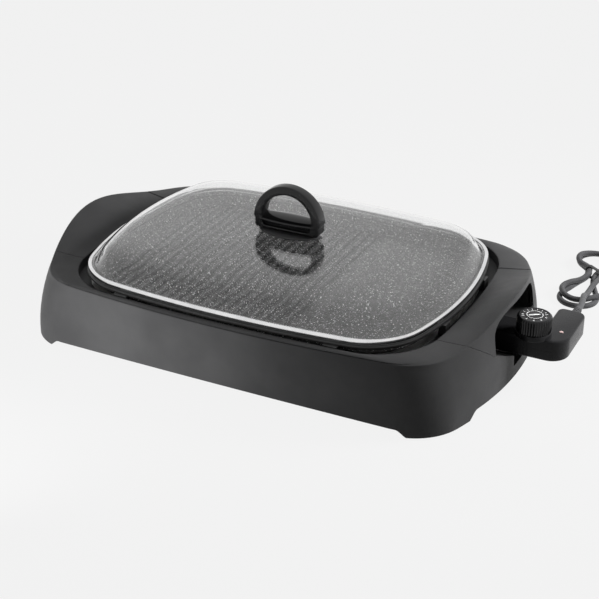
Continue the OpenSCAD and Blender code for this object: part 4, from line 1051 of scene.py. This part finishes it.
def dial_ring(radius, z, rib):
    """A ring of the dial, which waves in and out by rib."""
    ring = []
    for k in range(DIAL_POINTS):
        t = 2 * math.pi * k / DIAL_POINTS
        r = radius + rib * math.cos(2 * math.pi * k * DIAL_RIBS / DIAL_POINTS)
        ring.append(DIAL_AT + Vector((r * math.cos(t), r * math.sin(t), z)))
    return ring


dial = grow("dial_cap", [dial_ring(*row) for row in DIAL_ROWS], solid=True)
smooth(dial, 30)
fit(dial, dial_black, "dial_plastic", "dial", "dial_knob")


def ring_line(name, inner, outer, z):
    """A thin printed ring on the dial, between two radii."""
    drop_choice()
    bpy.ops.mesh.primitive_circle_add(vertices=72, radius=outer * MM,
                                      location=(DIAL_AT.x * MM, DIAL_AT.y * MM, z * MM))
    line = bpy.context.object
    line.name = line.data.name = name
    bpy.ops.object.mode_set(mode="EDIT")
    bpy.ops.mesh.select_all(action="SELECT")
    bpy.ops.mesh.edge_face_add()
    bpy.ops.mesh.inset(thickness=(outer - inner) * MM)
    bpy.ops.mesh.delete(type="FACE")
    bpy.ops.mesh.select_all(action="SELECT")
    bpy.ops.mesh.extrude_region_move(TRANSFORM_OT_translate={"value": (0, 0, PRINT_T * MM)})
    face_outwards(line)
    take(line)
    bpy.ops.object.transform_apply(location=True, rotation=True, scale=True)
    return line


def numeral(word, angle, reach, size, z):
    """A printed number that stands at an angle round the dial, its foot to the middle."""
    turn = math.radians(angle)
    drop_choice()
    bpy.ops.object.text_add(rotation=(0, 0, turn + math.pi / 2),
                            location=((DIAL_AT.x + reach * math.cos(turn)) * MM,
                                      (DIAL_AT.y + reach * math.sin(turn)) * MM, z * MM))
    text = bpy.context.object
    text.data.body = word
    text.data.align_x = "CENTER"
    text.data.align_y = "CENTER"
    text.data.size = size * MM
    text.data.extrude = PRINT_T / 2 * MM
    bpy.ops.object.convert(target="MESH")
    bpy.ops.object.transform_apply(location=True, rotation=True, scale=True)
    return bpy.context.object


# The numbers stand on the dial's sunk band, and the ring and pointer on its raised middle.
band_z = DIAL_AT.z + 14.6
middle_z = DIAL_AT.z + 14.93
tick_shape = ((10.2, -0.25), (12.4, -0.25), (12.4, 0.25), (10.2, 0.25))
pointer_shape = ((-5.4, -0.9), (3, -0.9), (5.6, 0), (3, 0.9), (-5.4, 0.9))
marks = [ring_line("print_ring", 7.2, 7.7, middle_z)]
for k, word in enumerate("012345"):
    marks.append(numeral(word, -150 + 36 * k, 11.2, 3.6, band_z + PRINT_T / 2))
for k in range(7):
    c, s = math.cos(math.radians(48 + 24 * k)), math.sin(math.radians(48 + 24 * k))
    marks.append(bar_z("tick", [(DIAL_AT.x + r * c - w * s, DIAL_AT.y + r * s + w * c)
                                for r, w in tick_shape], band_z - 0.02, band_z + PRINT_T))
marks.append(bar_z("pointer", [(DIAL_AT.x + 0.83 * u - 0.56 * v, DIAL_AT.y + 0.56 * u + 0.83 * v)
                               for u, v in pointer_shape],
                   middle_z, DIAL_AT.z + 14.95 + PRINT_T))
dial_print = weld(*marks)
dial_print.name = dial_print.data.name = "dial_print"
fit(dial_print, print_grey, "dial_plastic", "dial")

# ---- finishes of the nodes that stay ----
kept = {
    cover_black: ["bottom_cover", "lid_washer"],
    rubber: ["rubber_feet"],
    screw_steel: ["base_screws", "handle_screws", "terminal_pins", "terminal_screws", "lid_screw",
                  "controller_screws", "dial_shaft", "probe_rod"],
    sheet_steel: ["heat_shield", "element_supports", "element_clips", "probe_guide",
                  "thermostat_frame"],
    tray_black: ["drip_tray"],
    ceramic: ["terminal_block", "socket_block"],
    brass: ["socket_contacts", "contact_springs", "plug_blades"],
    lens_pale: ["pilot_lamp"],
}
for finish, names in kept.items():
    for name in names:
        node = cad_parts[name]
        node.data.materials.clear()
        node.data.materials.append(finish)


# ---- studio ----
def seen_ray(tree):
    """1 for rays from the camera, mirrored ones and those through glass."""
    rays = add(tree, "ShaderNodeLightPath")
    straight = math_node(tree, "MAXIMUM", rays.outputs["Is Camera Ray"],
                         rays.outputs["Is Glossy Ray"])
    return math_node(tree, "MAXIMUM", straight, rays.outputs["Is Transmission Ray"])


drop_choice()
bpy.ops.mesh.primitive_plane_add(size=16, location=(0, 0, -0.0002))
floor = bpy.context.object
floor.name = "floor"
paper = bpy.data.materials.new("studio_paper")
paper.use_nodes = True
tree = paper.node_tree
tree.nodes.clear()
matt = add(tree, "ShaderNodeBsdfDiffuse", Color=(FLOOR_MATT, FLOOR_MATT, FLOOR_MATT, 1))
glow = add(tree, "ShaderNodeEmission", Color=(FLOOR_GLOW, FLOOR_GLOW, FLOOR_GLOW, 1),
           Strength=1.0)
mix = add(tree, "ShaderNodeMixShader")
output = add(tree, "ShaderNodeOutputMaterial")
tree.links.new(math_node(tree, "MULTIPLY", seen_ray(tree), FLOOR_GLOW_SHARE), mix.inputs[0])
tree.links.new(matt.outputs[0], mix.inputs[1])
tree.links.new(glow.outputs[0], mix.inputs[2])
tree.links.new(mix.outputs[0], output.inputs[0])
floor.data.materials.append(paper)

world = bpy.data.worlds.new("studio")
bpy.context.scene.world = world
world.use_nodes = True
sky = world.node_tree
sky.links.new(ramp(sky, seen_ray(sky), [(0.0, SKY_LIGHT), (1.0, BACKGROUND)]),
              sky.nodes["Background"].inputs[0])


def softbox(name, place, size_x, size_y, power, target, spread):
    """A flat lamp that faces its target and isn't seen itself."""
    drop_choice()
    bpy.ops.object.light_add(type="AREA", location=place)
    lamp = bpy.context.object
    lamp.name = name
    lamp.data.shape = "RECTANGLE"
    lamp.data.size = size_x
    lamp.data.size_y = size_y
    lamp.data.energy = power
    lamp.data.spread = math.radians(spread)
    aim = Vector(target) - Vector(place)
    lamp.rotation_euler = aim.to_track_quat("-Z", "Y").to_euler()
    lamp.visible_camera = False
    lamp.visible_glossy = False
    lamp.visible_transmission = False


# A row is name, place, width, depth, watts, target and spread in degrees.
for row in (("top_box", (-0.1, 0.3, 1.7), 1.3, 1.0, 16, (0, 0, 0.05), 180),
            ("front_left_box", (-0.16, -0.42, 0.05), 0.2, 0.06, 0.95, (-0.11, -0.15, 0.035), 90),
            ("right_box", (0.85, 0.4, 0.5), 0.3, 0.3, 7, (0.25, 0.05, 0.06), 90)):
    softbox(*row)

bpy.context.scene.view_settings.view_transform = "Standard"
